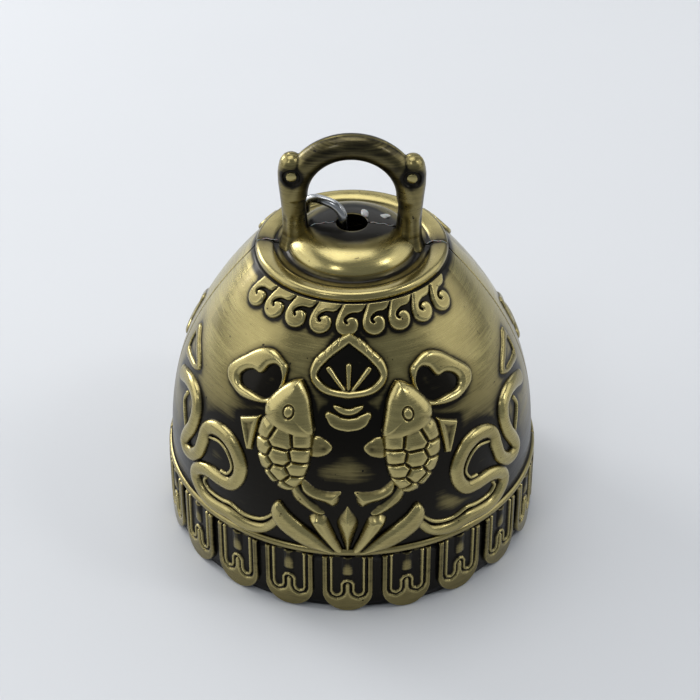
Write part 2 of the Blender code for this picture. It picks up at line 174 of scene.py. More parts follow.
class BellRelief(bpy.types.PropertyGroup):
    """How far the relief stands out of the wall, and how finely it is made."""
    fish: size("Fish", "Rise of the two fish", 1.5 * MM)
    loops: size("Loops", "Rise of the loops over the fish and the jewel's rim", 0.8 * MM)
    clouds: size("Clouds", "Rise of the cloud ribbons", 0.75 * MM)
    lotus: size("Lotus", "Rise of the lotus petals", 1.05 * MM)
    small: size("Small work", "Rise of fins, tails, stamens and crescents", 0.55 * MM)
    commas: size("Commas", "Rise of the band of commas under the flange", 0.5 * MM)
    sunk: size("Sunk edge", "How far a relief piece reaches into the wall", 0.3 * MM)
    spacing: size("Mesh spacing", "Distance between points of the relief meshes", 0.09 * MM)


class BellHandle(bpy.types.PropertyGroup):
    """Sizes of the handle."""
    inner: size("Arch inside", "Inside radius of the arch", 5.6 * MM)
    thickness: size("Thickness", "Thickness of the arch", 3.35 * MM)
    depth: size("Depth", "Arch from front to back", 3.5 * MM)
    height: size("Height", "Centre of the arch", 48.25 * MM)
    spread: size("Leg spread", "Middle of a leg from the axis, at its pin", 7.55 * MM)
    foot_spread: size("Foot spread", "Middle of a leg's foot from the axis", 7.3 * MM)
    pin_height: size("Pin height", "Height of the pins through the shoulders",
                     (PINS["left"][0][2] + PINS["left"][1][2]) / 2)
    pin_radius: size("Pin radius", "Radius of the pins",
                     (PINS["left"][1][2] - PINS["left"][0][2]) / 2)


class BellWire(bpy.types.PropertyGroup):
    """Sizes of the wirework and the clapper."""
    radius: size("Wire radius", "Half the wire's thickness", 0.62 * MM)
    eye: size("Eye radius", "Centre line of an eye", 1.9 * MM)
    play: size("Eye play", "Clearance between two linked eyes", 0.25 * MM)
    fillet: size("Eye fillet", "Bend where an eye leaves its shank", 1.0 * MM)
    hook: size("Hook radius", "Bend of the hanger's hook over the crown", 2.8 * MM)
    hook_rise: size("Hook rise", "Height of the hook over its ends", 2.4 * MM)
    hook_square: bpy.props.FloatProperty(
        name="Hook squareness", description="1 for an oval bend, less for a squarer one",
        default=0.75)
    hook_turn: bpy.props.FloatProperty(
        name="Hook turn", description="Direction of the hook, from the right",
        default=math.radians(152.0), subtype='ANGLE')
    bob_drop: size("Bob drop", "From the clapper's pivot to the bob's widest", 13.2 * MM)
    bob_radius: size("Bob radius", "Widest radius of the bob", 4.6 * MM)
    bob_length: size("Bob length", "Height of the bob", 9.5 * MM)
    bob_neck: size("Bob neck", "Radius of the bob's neck", 1.7 * MM)


class BellStage(bpy.types.PropertyGroup):
    """Camera and light."""
    lens: bpy.props.FloatProperty(
        name="Lens", description="Focal length of the camera, in millimetres",
        default=113.0)
    camera: bpy.props.FloatVectorProperty(
        name="Camera place", description="Where the camera stands, from the bell's foot",
        subtype='TRANSLATION', unit='LENGTH', default=(5.06 * MM, -233.9 * MM, 199.2 * MM))
    key: bpy.props.FloatProperty(
        name="Light", description="Power of the lights, in watts", default=1.0,
        unit='POWER')
    sky: bpy.props.FloatProperty(
        name="Sky", description="Brightness of the light from all round", default=0.32)


class BellFinish(bpy.types.PropertyGroup):
    """Colours of the finishes."""
    bronze: tint("Bronze", "Plating where the relief is brushed bright", (0.45, 0.382, 0.162))
    olive: tint("Olive bronze", "Plating on the open wall", (0.25, 0.208, 0.085))
    # The dark colour also goes where shade and dark reflections are painted: under the flange,
    # round the hanger's hole, between the legs, on the rear cap, on the arch's top and between
    # the fish.
    patina_and_shade: tint("Patina", "Dark patina in the hollows", (0.011, 0.0095, 0.007))
    steel: tint("Steel", "Bright wire", (0.40, 0.41, 0.42))
    glue: tint("Glue", "Dried glue in the seams", (0.42, 0.43, 0.42))
    floor: tint("Floor", "Table top under the bell", (0.66, 0.67, 0.69))


# Shapes on the wall

RELIEF_DRAW = 0.965
FISH_DRAW = 0.93


def wall_radius(height):
    """Outside radius of the wall at a height."""
    body = bpy.context.scene.bell_body
    rise = np.clip((height - body.bead_height) / body.dome_reach, 0.0, 0.98)
    return body.radius * (1.0 - rise ** body.fullness) ** body.closing


def along_wall(height):
    """Distance up the wall's section from the resting plane."""
    levels = np.linspace(0.0, 42.0 * MM, 600)
    steps = np.hypot(np.diff(wall_radius(levels)), np.diff(levels))
    return np.interp(height, levels, np.concatenate([[0.0], np.cumsum(steps)]))


def flat(turn, height, middle):
    """Wall coordinates laid flat about a middle turn: across and up, in metres."""
    return np.radians(turn - middle) * wall_radius(height), along_wall(height)


def laid(points, middle, draw=RELIEF_DRAW):
    """An outline laid flat about a middle turn, drawn in a little towards the front."""
    points = np.array(points, float) * (draw, 1.0)
    return np.stack(flat(points[:, 0], points[:, 1] * MM, middle), axis=1)


def wall_point(turn, height, rise):
    """Places a distance above the wall, and the directions out of it."""
    step = 0.01 * MM
    slope = (wall_radius(height + step) - wall_radius(height - step)) / (2 * step)
    length = np.hypot(1.0, slope)
    radius = wall_radius(height) + rise / length
    return around(radius, np.radians(turn), height - rise * slope / length)


def around(radius, angle, height):
    """Places at a radius and a height, an angle in radians from the front."""
    return np.stack([radius * np.sin(angle), -radius * np.cos(angle),
                     np.broadcast_to(height, angle.shape)], axis=-1)


def both_sides(curve):
    """A closed outline from its left half."""
    return np.concatenate([curve, curve[::-1] * (-1, 1)])


def rounded(points, closed=True, steps=5):
    """A smooth curve through points."""
    points = np.asarray(points, float)
    if closed:
        ring = np.concatenate([points[-1:], points, points[:2]])
    else:
        ring = np.concatenate([2 * points[:1] - points[1:2], points,
                               2 * points[-1:] - points[-2:-1]])
    share = np.arange(steps)[:, None] / steps
    runs = []
    for a, b, c, d in zip(ring, ring[1:], ring[2:], ring[3:]):
        runs.append(b + 0.5 * share * (c - a + share * (2 * a - 5 * b + 4 * c - d
                    + share * (3 * (b - c) + d - a))))
    made = np.concatenate(runs)
    return made if closed else np.concatenate([made, points[-1:]])


def line_distance(u, v, path, closed=False):
    """Distance from each place to a path, and how far along the path that is."""
    path = np.asarray(path)
    ends = np.roll(path, -1, 0) if closed else path[1:]
    starts = path if closed else path[:-1]
    best, along = np.full(u.shape, 1.0), np.zeros(u.shape)
    for i, ((ax, ay), (bx, by)) in enumerate(zip(starts, ends)):
        dx, dy = bx - ax, by - ay
        t = np.clip(((u - ax) * dx + (v - ay) * dy) / (dx * dx + dy * dy + 1e-18), 0, 1)
        gap = np.hypot(u - ax - t * dx, v - ay - t * dy)
        nearer = gap < best
        best = np.where(nearer, gap, best)
        along = np.where(nearer, (i + t) / len(starts), along)
    return best, along


def depth_in(u, v, path):
    """Distance inside a closed outline, negative outside."""
    odd = np.zeros(u.shape, bool)
    for (ax, ay), (bx, by) in zip(path, np.roll(path, -1, 0)):
        if ay != by:
            odd ^= ((ay > v) != (by > v)) & (u < (bx - ax) * (v - ay) / (by - ay) + ax)
    gap = line_distance(u, v, path, closed=True)[0]
    return np.where(odd, gap, -gap)


def inside(place, outline, middle, steps=5, draw=RELIEF_DRAW):
    """Distance inside a rounded outline, for a place laid flat about the same middle."""
    return depth_in(*place, rounded(laid(outline, middle, draw), steps=steps))


def pillow(depth, width, rise):
    """Height of a rounded edge that levels off at a width inside its outline."""
    share = np.clip(depth / width, 0.0, 1.0)
    top = rise * np.sqrt(1.0 - (1.0 - share) ** 2)
    return np.where(depth > 0.0, top, 2.0 * depth)


def roof(depth, width, rise, crown=1.5):
    """Height of a sloped edge with a crest at a width inside its outline."""
    share = np.clip(depth / width, 0.0, 1.0)
    return np.where(depth > 0.0, rise * (1.0 - (1.0 - share) ** crown), 2.0 * depth)


def ramp(value, low, high):
    """Smooth step from 0 to 1."""
    share = np.clip((value - low) / (high - low), 0.0, 1.0)
    return share * share * (3.0 - 2.0 * share)


def scale_height(u, v, body, middle):
    """Crowned scales with a groove between each and its nearest neighbour."""
    squeeze = (0.8, 1.0)
    crown, crown_width, groove, groove_width = 0.34 * MM, 0.8 * MM, 0.30 * MM, 0.17 * MM
    centres = laid(FISH_SCALES, middle, FISH_DRAW) * squeeze
    gaps = np.stack([np.hypot(u * squeeze[0] - a, v - b) for a, b in centres])
    order = np.argsort(gaps, axis=0)
    first, second = (np.take_along_axis(gaps, order[i:i + 1], 0)[0] for i in (0, 1))
    spread = np.linalg.norm(centres[order[0]] - centres[order[1]], axis=-1)
    border = (second ** 2 - first ** 2) / (2 * spread)
    border = np.minimum(border, np.maximum(body, 0.0) + 0.25 * MM)
    rise = crown * np.sqrt(1 - (1 - np.clip(border / crown_width, 0, 1)) ** 2)
    return rise - groove * np.exp(-(border / groove_width) ** 2)


def fish_height(turn, height):
    """A fish nose up: faceted head with a button eye, and crowned scales."""
    relief = bpy.context.scene.bell_relief
    middle, shoulder = -22.0, 2.9 * MM
    head_step, head_facet, facet_width = 0.22 * MM, 0.34 * MM, 1.3 * MM
    eye_rise, ring_depth, eye_wide, eye_tall = 0.22 * MM, 0.24 * MM, 0.50 * MM, 0.66 * MM
    u, v = flat(turn, height, middle)
    body = inside((u, v), FISH, middle, draw=FISH_DRAW)
    head = inside((u, v), FISH_HEAD, middle, 3, FISH_DRAW)
    scaled = pillow(body, shoulder, relief.fish) + scale_height(u, v, body, middle)
    plate = pillow(np.maximum(head, body), shoulder, relief.fish) + head_step
    plate += pillow(head, facet_width, head_facet) * (head > 0)
    eye_u, eye_v = laid(FISH_EYE, middle, FISH_DRAW)[0]
    eye = np.hypot((u - eye_u) / eye_wide, (v - eye_v) / eye_tall)
    plate += eye_rise * np.sqrt(1 - np.clip(eye, 0, 1) ** 2)
    plate -= ring_depth * np.exp(-((eye - 1.24) / 0.2) ** 2)
    share = ramp(head, -0.02 * MM, 0.10 * MM)
    solid = scaled * (1 - share) + plate * share
    edge = np.maximum(body, head)
    return np.where(edge > 0, np.minimum(solid, 6.0 * edge + 0.2 * MM), 2.5 * edge)


EAR_MIDDLE = -38.0


def ear_height(turn, height):
    """The open loop that springs from a fish's head."""
    relief = bpy.context.scene.bell_relief
    place = flat(turn, height, EAR_MIDDLE)
    outer = inside(place, EAR, EAR_MIDDLE)
    hole = inside(place, EAR_HOLE, EAR_MIDDLE) - 0.08 * MM
    return pillow(np.minimum(outer, -hole), 0.8 * MM, relief.loops)


def fin_height(turn, height):
    """The wedge fin beside a fish, with a raised edge, and the small fin inside."""
    relief = bpy.context.scene.bell_relief
    wedge_middle, lens_middle, dimple, dimple_depth = -36.0, -8.0, 0.5 * MM, 0.12 * MM
    wedge = depth_in(*flat(turn, height, wedge_middle), laid(FIN, wedge_middle))
    lip = roof(wedge, 0.3 * MM, relief.small, 1.6) - 0.3 * relief.small * ramp(
        wedge, 0.45 * MM, 1.0 * MM)
    u, v = flat(turn, height, lens_middle)
    lens = inside((u, v), SMALL_FIN, lens_middle)
    hollow = np.exp(-((u - 0.2 * MM) ** 2 + (v - along_wall(25.0 * MM)) ** 2) / dimple ** 2)
    return np.maximum(lip, pillow(lens, 0.9 * MM, 0.8 * relief.small) - dimple_depth * hollow)


def tail_height(turn, height):
    """The forked tail under a fish."""
    relief = bpy.context.scene.bell_relief
    middle = -10.0
    place = flat(turn, height, middle)
    return np.maximum(
        roof(inside(place, TAIL_UPPER, middle, 3), 1.0 * MM, 1.25 * relief.small, 1.8),
        roof(inside(place, TAIL_LOWER, middle, 3), 0.8 * MM, relief.small, 1.8))


def jewel_height(turn, height):
    """The flaming jewel: a notched rim round three stamens, over two crescents."""
    relief = bpy.context.scene.bell_relief
    turn = -np.abs(turn)
    u, v = flat(turn, height, 0.0)
    made = []
    for path in (JEWEL, JEWEL_HOLE):
        curve = rounded(laid(path, 0.0, 1.0), closed=False)
        made.append(depth_in(u, v, both_sides(curve)))
    outer, hole = made
    rim = np.minimum(outer + 0.12 * MM, 0.14 * MM - hole)
    centre, notch_pitch, notch_depth = along_wall(33.6 * MM), 17.0, 0.22 * MM
    bearing = np.degrees(np.arctan2(v - centre, -u))
    wave = np.cos(np.radians((bearing - 8.0 + outer / MM * 9.0) * 360 / notch_pitch))
    notch = np.clip(wave, 0, 1) ** 10 * ramp(bearing, 12, 22) * ramp(-bearing, -86, -78)
    top = pillow(rim, 0.55 * MM, relief.loops) - notch_depth * notch * (rim > 0) * ramp(
        outer, 0.9 * MM, 0.2 * MM)
    for path in STAMENS:
        gap, along = line_distance(u, v, laid(path, 0.0))
        blade = pillow((0.30 + 0.14 * along) * MM - gap, 0.34 * MM, 1.1 * relief.small)
        top = np.maximum(top, blade)
    for path, width in CRESCENTS:
        gap, along = line_distance(u, v, rounded(laid(path, 0.0), closed=False))
        edge = width * MM * np.sqrt(np.clip(along * 2.0 + 0.4, 0, 1)) - gap
        top = np.maximum(top, pillow(edge, 0.4 * MM, relief.small * 1.1))
    return top


def lotus_height(turn, height):
    """The lotus over the bead: five crested petals."""
    relief = bpy.context.scene.bell_relief
    turn = -np.abs(turn)
    u, v = flat(turn, height, 0.0)
    curve = rounded(laid(MIDDLE_PETAL, 0.0), closed=False, steps=3)
    middle = depth_in(u, v, both_sides(curve))
    second = inside((u, v), SECOND_PETAL, 0.0, 3)
    outer = inside((u, v), OUTER_PETAL, 0.0, 3)
    return np.maximum.reduce([roof(middle, 1.15 * MM, relief.lotus, 1.3),
                              roof(second, 0.95 * MM, relief.lotus, 1.4),
                              pillow(outer, 1.25 * MM, relief.lotus)])


def cloud_height(turn, height):
    """The winding cloud ribbon, the thin lines beside it and the flame at its end."""
    relief = bpy.context.scene.bell_relief
    middle = -55.0
    u, v = flat(turn, height, middle)
    gap, along = line_distance(u, v, rounded(laid(CLOUD, middle), closed=False))
    width = (0.66 + 0.36 * ramp(along, 0.0, 0.12)) * MM
    low = 1.0 - 0.5 * ramp(-turn, 62.0, 84.0)
    top = pillow(width - gap, 0.95 * MM, relief.clouds * low)
    for path in CLOUD_LINES:
        gap = line_distance(u, v, rounded(laid(path, middle), closed=False))[0]
        top = np.maximum(top, pillow(0.26 * MM - gap, 0.24 * MM, 0.4 * relief.clouds))
    flame = inside((u, v), FLAME, middle, 3)
    hole = inside((u, v), FLAME_HOLE, middle, 3)
    return np.maximum(top, pillow(np.minimum(flame, -hole), 0.6 * MM, 0.42 * relief.clouds))


COMMA_PITCH = 13.5
COMMA_FIRST = -1.25
COMMAS_A_SIDE = 4
COMMA_FOOT = 38.05 * MM
COMMA_LEAF = [(-1.5, 0.4), (-1.42, 1.0), (-1.2, 1.7), (-0.9, 2.4), (-0.4, 3.6), (2.75, 3.6),
              (2.3, 2.6), (1.9, 2.05), (1.4, 1.82), (0.6, 1.75), (0.0, 1.3), (-0.2, 0.4)]
COMMA_CURL = [(2.1, 1.6), (1.45, 1.52), (0.85, 1.62), (0.25, 1.5), (-0.15, 1.2),
              (-0.22, 0.85), (0.0, 0.62)]


def comma_height(turn, height):
    """A band of comma-shaped curls, each a bulb with a broad leaf rising to its right."""
    relief = bpy.context.scene.bell_relief
    nearest = np.round((turn - COMMA_FIRST) / COMMA_PITCH)
    up = (along_wall(height) - along_wall(COMMA_FOOT)) / MM
    top = np.full(turn.shape, -1.0)
    for step in (-1, 0, 1):
        number = nearest + step
        u = np.radians(turn - number * COMMA_PITCH - COMMA_FIRST) * wall_radius(height) / MM
        bulb = 1.45 * (1.0 - np.hypot(u / 1.5, (up - 0.42) / 1.45))
        edge = np.maximum(bulb, depth_in(u, up, np.array(COMMA_LEAF)))
        gap, along = line_distance(u, up, rounded(COMMA_CURL, False, 3))
        one = pillow(edge * MM, 0.5 * MM, relief.commas)
        one -= 0.5 * MM * np.exp(-(gap / (0.25 - 0.12 * along)) ** 2) * (edge > 0)
        top = np.maximum(top, np.where(np.abs(number) <= COMMAS_A_SIDE, one, -1.0))
    return top


ORNAMENTS = {
    "fish": (fish_height, (-33.0, -9.6), (18.3, 33.0), True),
    "loop": (ear_height, (-53.0, -24.0), (27.6, 35.2), True),
    "fins": (fin_height, (-41.2, -3.0), (21.8, 27.8), True),
    "tail": (tail_height, (-19.0, -1.4), (15.2, 21.3), True),
    "cloud": (cloud_height, (-86.5, -19.5), (9.8, 30.8), True),
    "jewel": (jewel_height, (-16.2, 16.2), (26.8, 38.2), False),
    "lotus": (lotus_height, (-26.0, 26.0), (9.7, 18.2), False),
    "commas": (comma_height, (-64.0, 66.0), (36.9, 40.3), False),
}


# Meshes

def link(name, mesh, finish, node, body="shell"):
    """Add a piece that stands for a node of the frame and rides with its body."""
    made = bpy.data.objects.new(name, mesh)
    bpy.context.scene.collection.objects.link(made)
    mesh.materials.clear()
    mesh.materials.append(bpy.data.materials[finish])
    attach(made, body)
    for each in ([node] if isinstance(node, str) else node):
        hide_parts(each)
    return made


def mesh_from(name, points, faces):
    """A smooth mesh with its normals outwards."""
    mesh = bpy.data.meshes.new(name)
    mesh.from_pydata(np.asarray(points).tolist(), [], faces)
    mesh.validate()
    mesh.shade_smooth()
    return mesh


def quads(rows, columns, offset=0, closed=False):
    """Quads of a grid of points, as an array of corner numbers."""
    number = np.arange(rows * columns).reshape(rows, columns) + offset
    if closed:
        number = np.concatenate([number, number[:, :1]], axis=1)
    return np.stack([number[:-1, :-1], number[:-1, 1:], number[1:, 1:], number[1:, :-1]],
                    axis=-1)


def from_bmesh(name, bm):
    """A smooth mesh made from a bmesh, which is freed."""
    mesh = bpy.data.meshes.new(name)
    bm.to_mesh(mesh)
    bm.free()
    mesh.shade_smooth()
    return mesh


def read_points(mesh, what="co"):
    """Places or normals of a mesh's points, one row each."""
    values = np.empty(len(mesh.vertices) * 3)
    mesh.vertices.foreach_get(what, values)
    return values.reshape(-1, 3)


def store_wear_and_shade(mesh, wear_and_shade):
    """Keep the worn brightness and painted shade of each point for the finishes, 0 hollow to 1
    crest.
    """
    layer = mesh.attributes.new("wear_and_shade", 'FLOAT', 'POINT')
    layer.data.foreach_set("value", np.clip(wear_and_shade, 0.0, 1.0))


def mark_wear_and_shade(mesh, reach, contrast, lift):
    """Rate each point by how proud it is of its surroundings, plus a lift that in places holds
    painted shade.
    """
    count = len(mesh.vertices)
    points, normals = read_points(mesh), read_points(mesh, "normal")
    edges = np.empty(len(mesh.edges) * 2, int)
    mesh.edges.foreach_get("vertices", edges)
    edges = edges.reshape(-1, 2)
    length = np.linalg.norm(points[edges[:, 0]] - points[edges[:, 1]], axis=1)
    near = length < 4 * np.median(length)
    edges, length = edges[near], length[near]
    rounds = int(np.clip((reach / np.median(length)) ** 2, 2, 160))
    degree = np.maximum(np.bincount(edges.ravel(), minlength=count), 1)[:, None]
    soft = points.copy()
    for _ in range(rounds):
        total = np.zeros_like(soft)
        for axis in range(3):
            total[:, axis] = (
                np.bincount(edges[:, 0], soft[edges[:, 1], axis], minlength=count)
                + np.bincount(edges[:, 1], soft[edges[:, 0], axis], minlength=count))
        soft = 0.5 * soft + 0.5 * total / degree
    proud = ((points - soft) * normals).sum(axis=1)
    store_wear_and_shade(mesh, 0.5 + proud * contrast / MM + lift)


def relief_mesh(name, shape, turns, heights, facing, mirror):
    """A closed piece that stands out of the wall, its edge sunk below the surface."""
    relief = bpy.context.scene.bell_relief
    sunk, spacing = relief.sunk, relief.spacing
    low, high = (h * MM for h in heights)
    middle_radius = float(wall_radius((low + high) / 2))
    columns = int(math.radians(turns[1] - turns[0]) * middle_radius / spacing)
    rows = int((along_wall(high) - along_wall(low)) / spacing)
    turn, up = np.meshgrid(np.linspace(*turns, columns),
                           np.interp(np.linspace(along_wall(low), along_wall(high), rows),
                                     along_wall(np.linspace(low, high, 200)),
                                     np.linspace(low, high, 200)))
    rise = np.maximum(shape(turn, up), -sunk)
    if mirror:
        turn, rise, up = -turn[:, ::-1], rise[:, ::-1], up[:, ::-1]
    cells = np.maximum.reduce([rise[:-1, :-1], rise[1:, :-1], rise[:-1, 1:],
                               rise[1:, 1:]]) > -sunk * 0.98
    for _ in range(4):
        saddle = cells[:-1, :-1] & cells[1:, 1:] & ~cells[1:, :-1] & ~cells[:-1, 1:]
        cells[1:, :-1] |= saddle
        saddle = ~cells[:-1, :-1] & ~cells[1:, 1:] & cells[1:, :-1] & cells[:-1, 1:]
        cells[:-1, :-1] |= saddle
    angle = turn + facing
    top = wall_point(angle, up, rise).reshape(-1, 3)
    under = wall_point(angle, up, np.full_like(rise, -sunk - 0.3 * MM)).reshape(-1, 3)
    count = rows * columns
    upper = quads(rows, columns)[cells]
    faces = [upper, upper[:, ::-1] + count]
    number = np.arange(count).reshape(rows, columns)
    padded = np.pad(cells, 1)
    for axis, shift in ((0, 1), (0, -1), (1, 1), (1, -1)):
        open_side = padded & ~np.roll(padded, shift, axis)
        open_side = open_side[1:-1, 1:-1]
        a, b, c, d = (number[:-1, :-1], number[:-1, 1:], number[1:, 1:], number[1:, :-1])
        start, end = {(0, 1): (a, b), (0, -1): (c, d), (1, 1): (d, a), (1, -1): (b, c)}[
            (axis, shift)]
        start, end = start[open_side], end[open_side]
        faces.append(np.stack([end, start, start + count, end + count], axis=1))
    faces = np.concatenate(faces)
    used, renumbered = np.unique(faces, return_inverse=True)
    points = np.concatenate([top, under])[used]
    mesh = mesh_from(name, points, renumbered.reshape(faces.shape).tolist())
    hidden = np.concatenate([rise.ravel(), np.full(count, -sunk)])[used]
    lift = 0.74 * (1 - np.exp(-np.maximum(hidden, 0) / (0.34 * MM))) - 0.60
    mark_wear_and_shade(mesh, 0.5 * MM, 3.6, lift)
    return mesh


def turned_half(name, outline, facing, columns):
    """Half of a turned casting, closed along the seam, from a section of (r, z)."""
    seam = bpy.context.scene.bell_body.seam
    outline = np.asarray(outline, float)
    span = np.pi / 2 - np.arcsin(seam / 2 / outline[:, 0])
    angle = np.linspace(-1, 1, columns)[:, None] * span[None, :] + math.radians(facing)
    radius = np.broadcast_to(outline[:, 0], angle.shape)
    points = around(radius, angle, outline[:, 1])
    faces = quads(columns, len(outline), closed=True).reshape(-1, 4)[:, ::-1].tolist()
    count = len(outline)
    faces.append(list(range(count)))
    faces.append(list(range((columns - 1) * count, columns * count))[::-1])
    return mesh_from(name, points.reshape(-1, 3), faces)


def arc(centre, radius, start, end, steps):
    """Points on an arc in a plane; angles in degrees."""
    angles = np.radians(np.linspace(start, end, steps + 1))
    return np.stack([centre[0] + radius * np.cos(angles),
                     centre[1] + radius * np.sin(angles)], axis=1)


def section(points, spacing):
    """A section with its long runs divided evenly."""
    points = np.asarray(points, float)
    made = []
    for a, b in zip(points, np.roll(points, -1, 0)):
        count = max(1, int(np.linalg.norm(b - a) / spacing))
        made.extend(a + (b - a) * i / count for i in range(count))
    return np.array(made)


def nearness(turn, height):
    """How close the open wall is to relief, 0 away to 1 beside it."""
    margin_turn, margin_height, fade = 15, 5, 1.9 * MM
    closest = np.full(turn.shape, -10 * MM)
    for shape, turns, heights, mirrored in ORNAMENTS.values():
        for side in ((1, -1) if mirrored else (1,)):
            local = turn * side
            near = ((local > turns[0] - margin_turn) & (local < turns[1] + margin_turn)
                    & (height > (heights[0] - margin_height) * MM)
                    & (height < (heights[1] + margin_height) * MM))
            if near.any():
                closest[near] = np.maximum(closest[near], shape(local[near], height[near]))
    return np.exp(np.minimum(closest, 0.0) / fade)


def hollows(turn, height):
    """Inside of the loops and of the jewel's rim, 0 outside to 1 within."""
    left = -np.abs(turn)
    share = np.zeros(turn.shape)
    for path, middle in ((EAR_HOLE, EAR_MIDDLE), (JEWEL_HOLE, 0.0)):
        u, v = flat(left, height, middle)
        curve = rounded(laid(path, middle), closed=path is EAR_HOLE)
        if path is JEWEL_HOLE:
            curve = both_sides(curve)
        share = np.maximum(share, ramp(depth_in(u, v, curve), -0.2 * MM, 0.5 * MM))
    return share


# Lighter spots between the relief: turn, height, half width and half height in
# degrees and millimetres, and strength
LIGHTER_SPOTS = [(0.0, 22.0, 13.0, 3.4, 1.7), (37.0, 15.5, 9.0, 2.6, 1.1),
          (-43.0, 15.5, 9.0, 2.6, 0.55)]


def wall_wear_and_shade(turn, height, outside):
    """Worn brightness and painted shade of the wall: bright above and at the sides, dark
    beside and between relief.
    """
    body = bpy.context.scene.bell_body
    bead_top = body.bead_height + body.bead_radius
    upper = ramp(height, 22 * MM, 33 * MM)
    flank = ramp(np.abs(turn), 36.0, 62.0) * ramp(height, 11 * MM, 24 * MM)
    # Painted dark reflection: the wall between the fish is darkened, fading out from 29 to 34
    # mm up.
    middle = np.exp(-(turn / 17.0) ** 2) * ramp(height, 34 * MM, 29 * MM)
    spots = sum(strength * np.exp(-((turn - place) / wide) ** 2
                                  - ((height - level * MM) / (tall * MM)) ** 2)
                for place, level, wide, tall, strength in LIGHTER_SPOTS)
    wear_and_shade = 0.10 + 0.62 * upper + 0.30 * flank * (1 - upper) - 0.36 * middle + 0.34 * spots
    near = np.zeros(turn.shape)
    field = outside & (height > bead_top)
    near[field] = nearness(turn[field], height[field])
    wear_and_shade -= 0.62 * near ** 1.5 + 0.06 * near * (1 - upper)
    wear_and_shade[field] -= 0.45 * hollows(turn[field], height[field])
    between_commas = near * ramp(height, 36.2 * MM, 37.4 * MM)
    # Painted shadow, with dark wash, on the wall under the flange.
    flange_shadow_and_wash = ramp(height, 39.3 * MM, 40.2 * MM)
    wear_and_shade -= 0.34 * between_commas + 0.70 * flange_shadow_and_wash
    bead_wear, skirt_wear = 0.54, 0.05
    on_bead = outside & (np.abs(height - body.bead_height) < 0.9 * body.bead_radius)
    wear_and_shade = np.where(on_bead, bead_wear, wear_and_shade)
    wear_and_shade -= 0.4 * np.exp(-(height - bead_top) / (0.7 * MM)) * field
    behind_skirt = outside & (height < body.bead_height - body.bead_radius)
    return np.where(behind_skirt, skirt_wear, wear_and_shade)


def wall_mesh(name, facing):
    """The wall of a half casting with its bead, from the mouth to the flange."""
    body = bpy.context.scene.bell_body
    columns, top = 300, body.shoulder + 0.3 * MM
    skirt, inner_radius = body.radius - 0.05 * MM, body.radius - body.wall
    heights = np.linspace(body.bead_height + body.bead_radius, top, 120)
    bead = arc((body.radius, body.bead_height), body.bead_radius, -88, 88, 12)
    below = section([(skirt, body.lift), (skirt, body.bead_height - body.bead_radius)],
                    0.8 * MM)[:10]
    outer = np.concatenate([below, bead, np.stack([wall_radius(heights), heights], axis=1)])
    up = heights[heights < body.shoulder - body.wall][::-6]
    inner = np.stack([wall_radius(up) - body.wall, up], axis=1)
    outline = np.concatenate([outer, [(wall_radius(body.shoulder) - body.wall, top)], inner,
                              [(inner_radius, body.bead_height),
                               (inner_radius, body.lift + 0.15 * MM),
                               (inner_radius + 0.15 * MM, body.lift)]])
    mesh = turned_half(name, outline, facing, columns)
    turn = np.repeat(np.linspace(-89.6, 89.6, columns), len(outline))
    outside = np.tile(np.arange(len(outline)) < len(outer), columns)
    store_wear_and_shade(mesh, wall_wear_and_shade(turn, np.tile(outline[:, 1], columns), outside))
    return mesh


CAP_INSET = 0.55 * MM
CAP_FLATNESS = 2.6
CAP_ROUNDNESS = 0.6
FLANGE_ROLL = 0.75 * MM


def cap_level(radius):
    """Height of the cap's top at a radius inside its foot."""
    body = bpy.context.scene.bell_body
    share = radius / (body.cap_radius - CAP_INSET)
    return body.cap_foot + body.cap_rise * (1 - share ** CAP_FLATNESS) ** CAP_ROUNDNESS


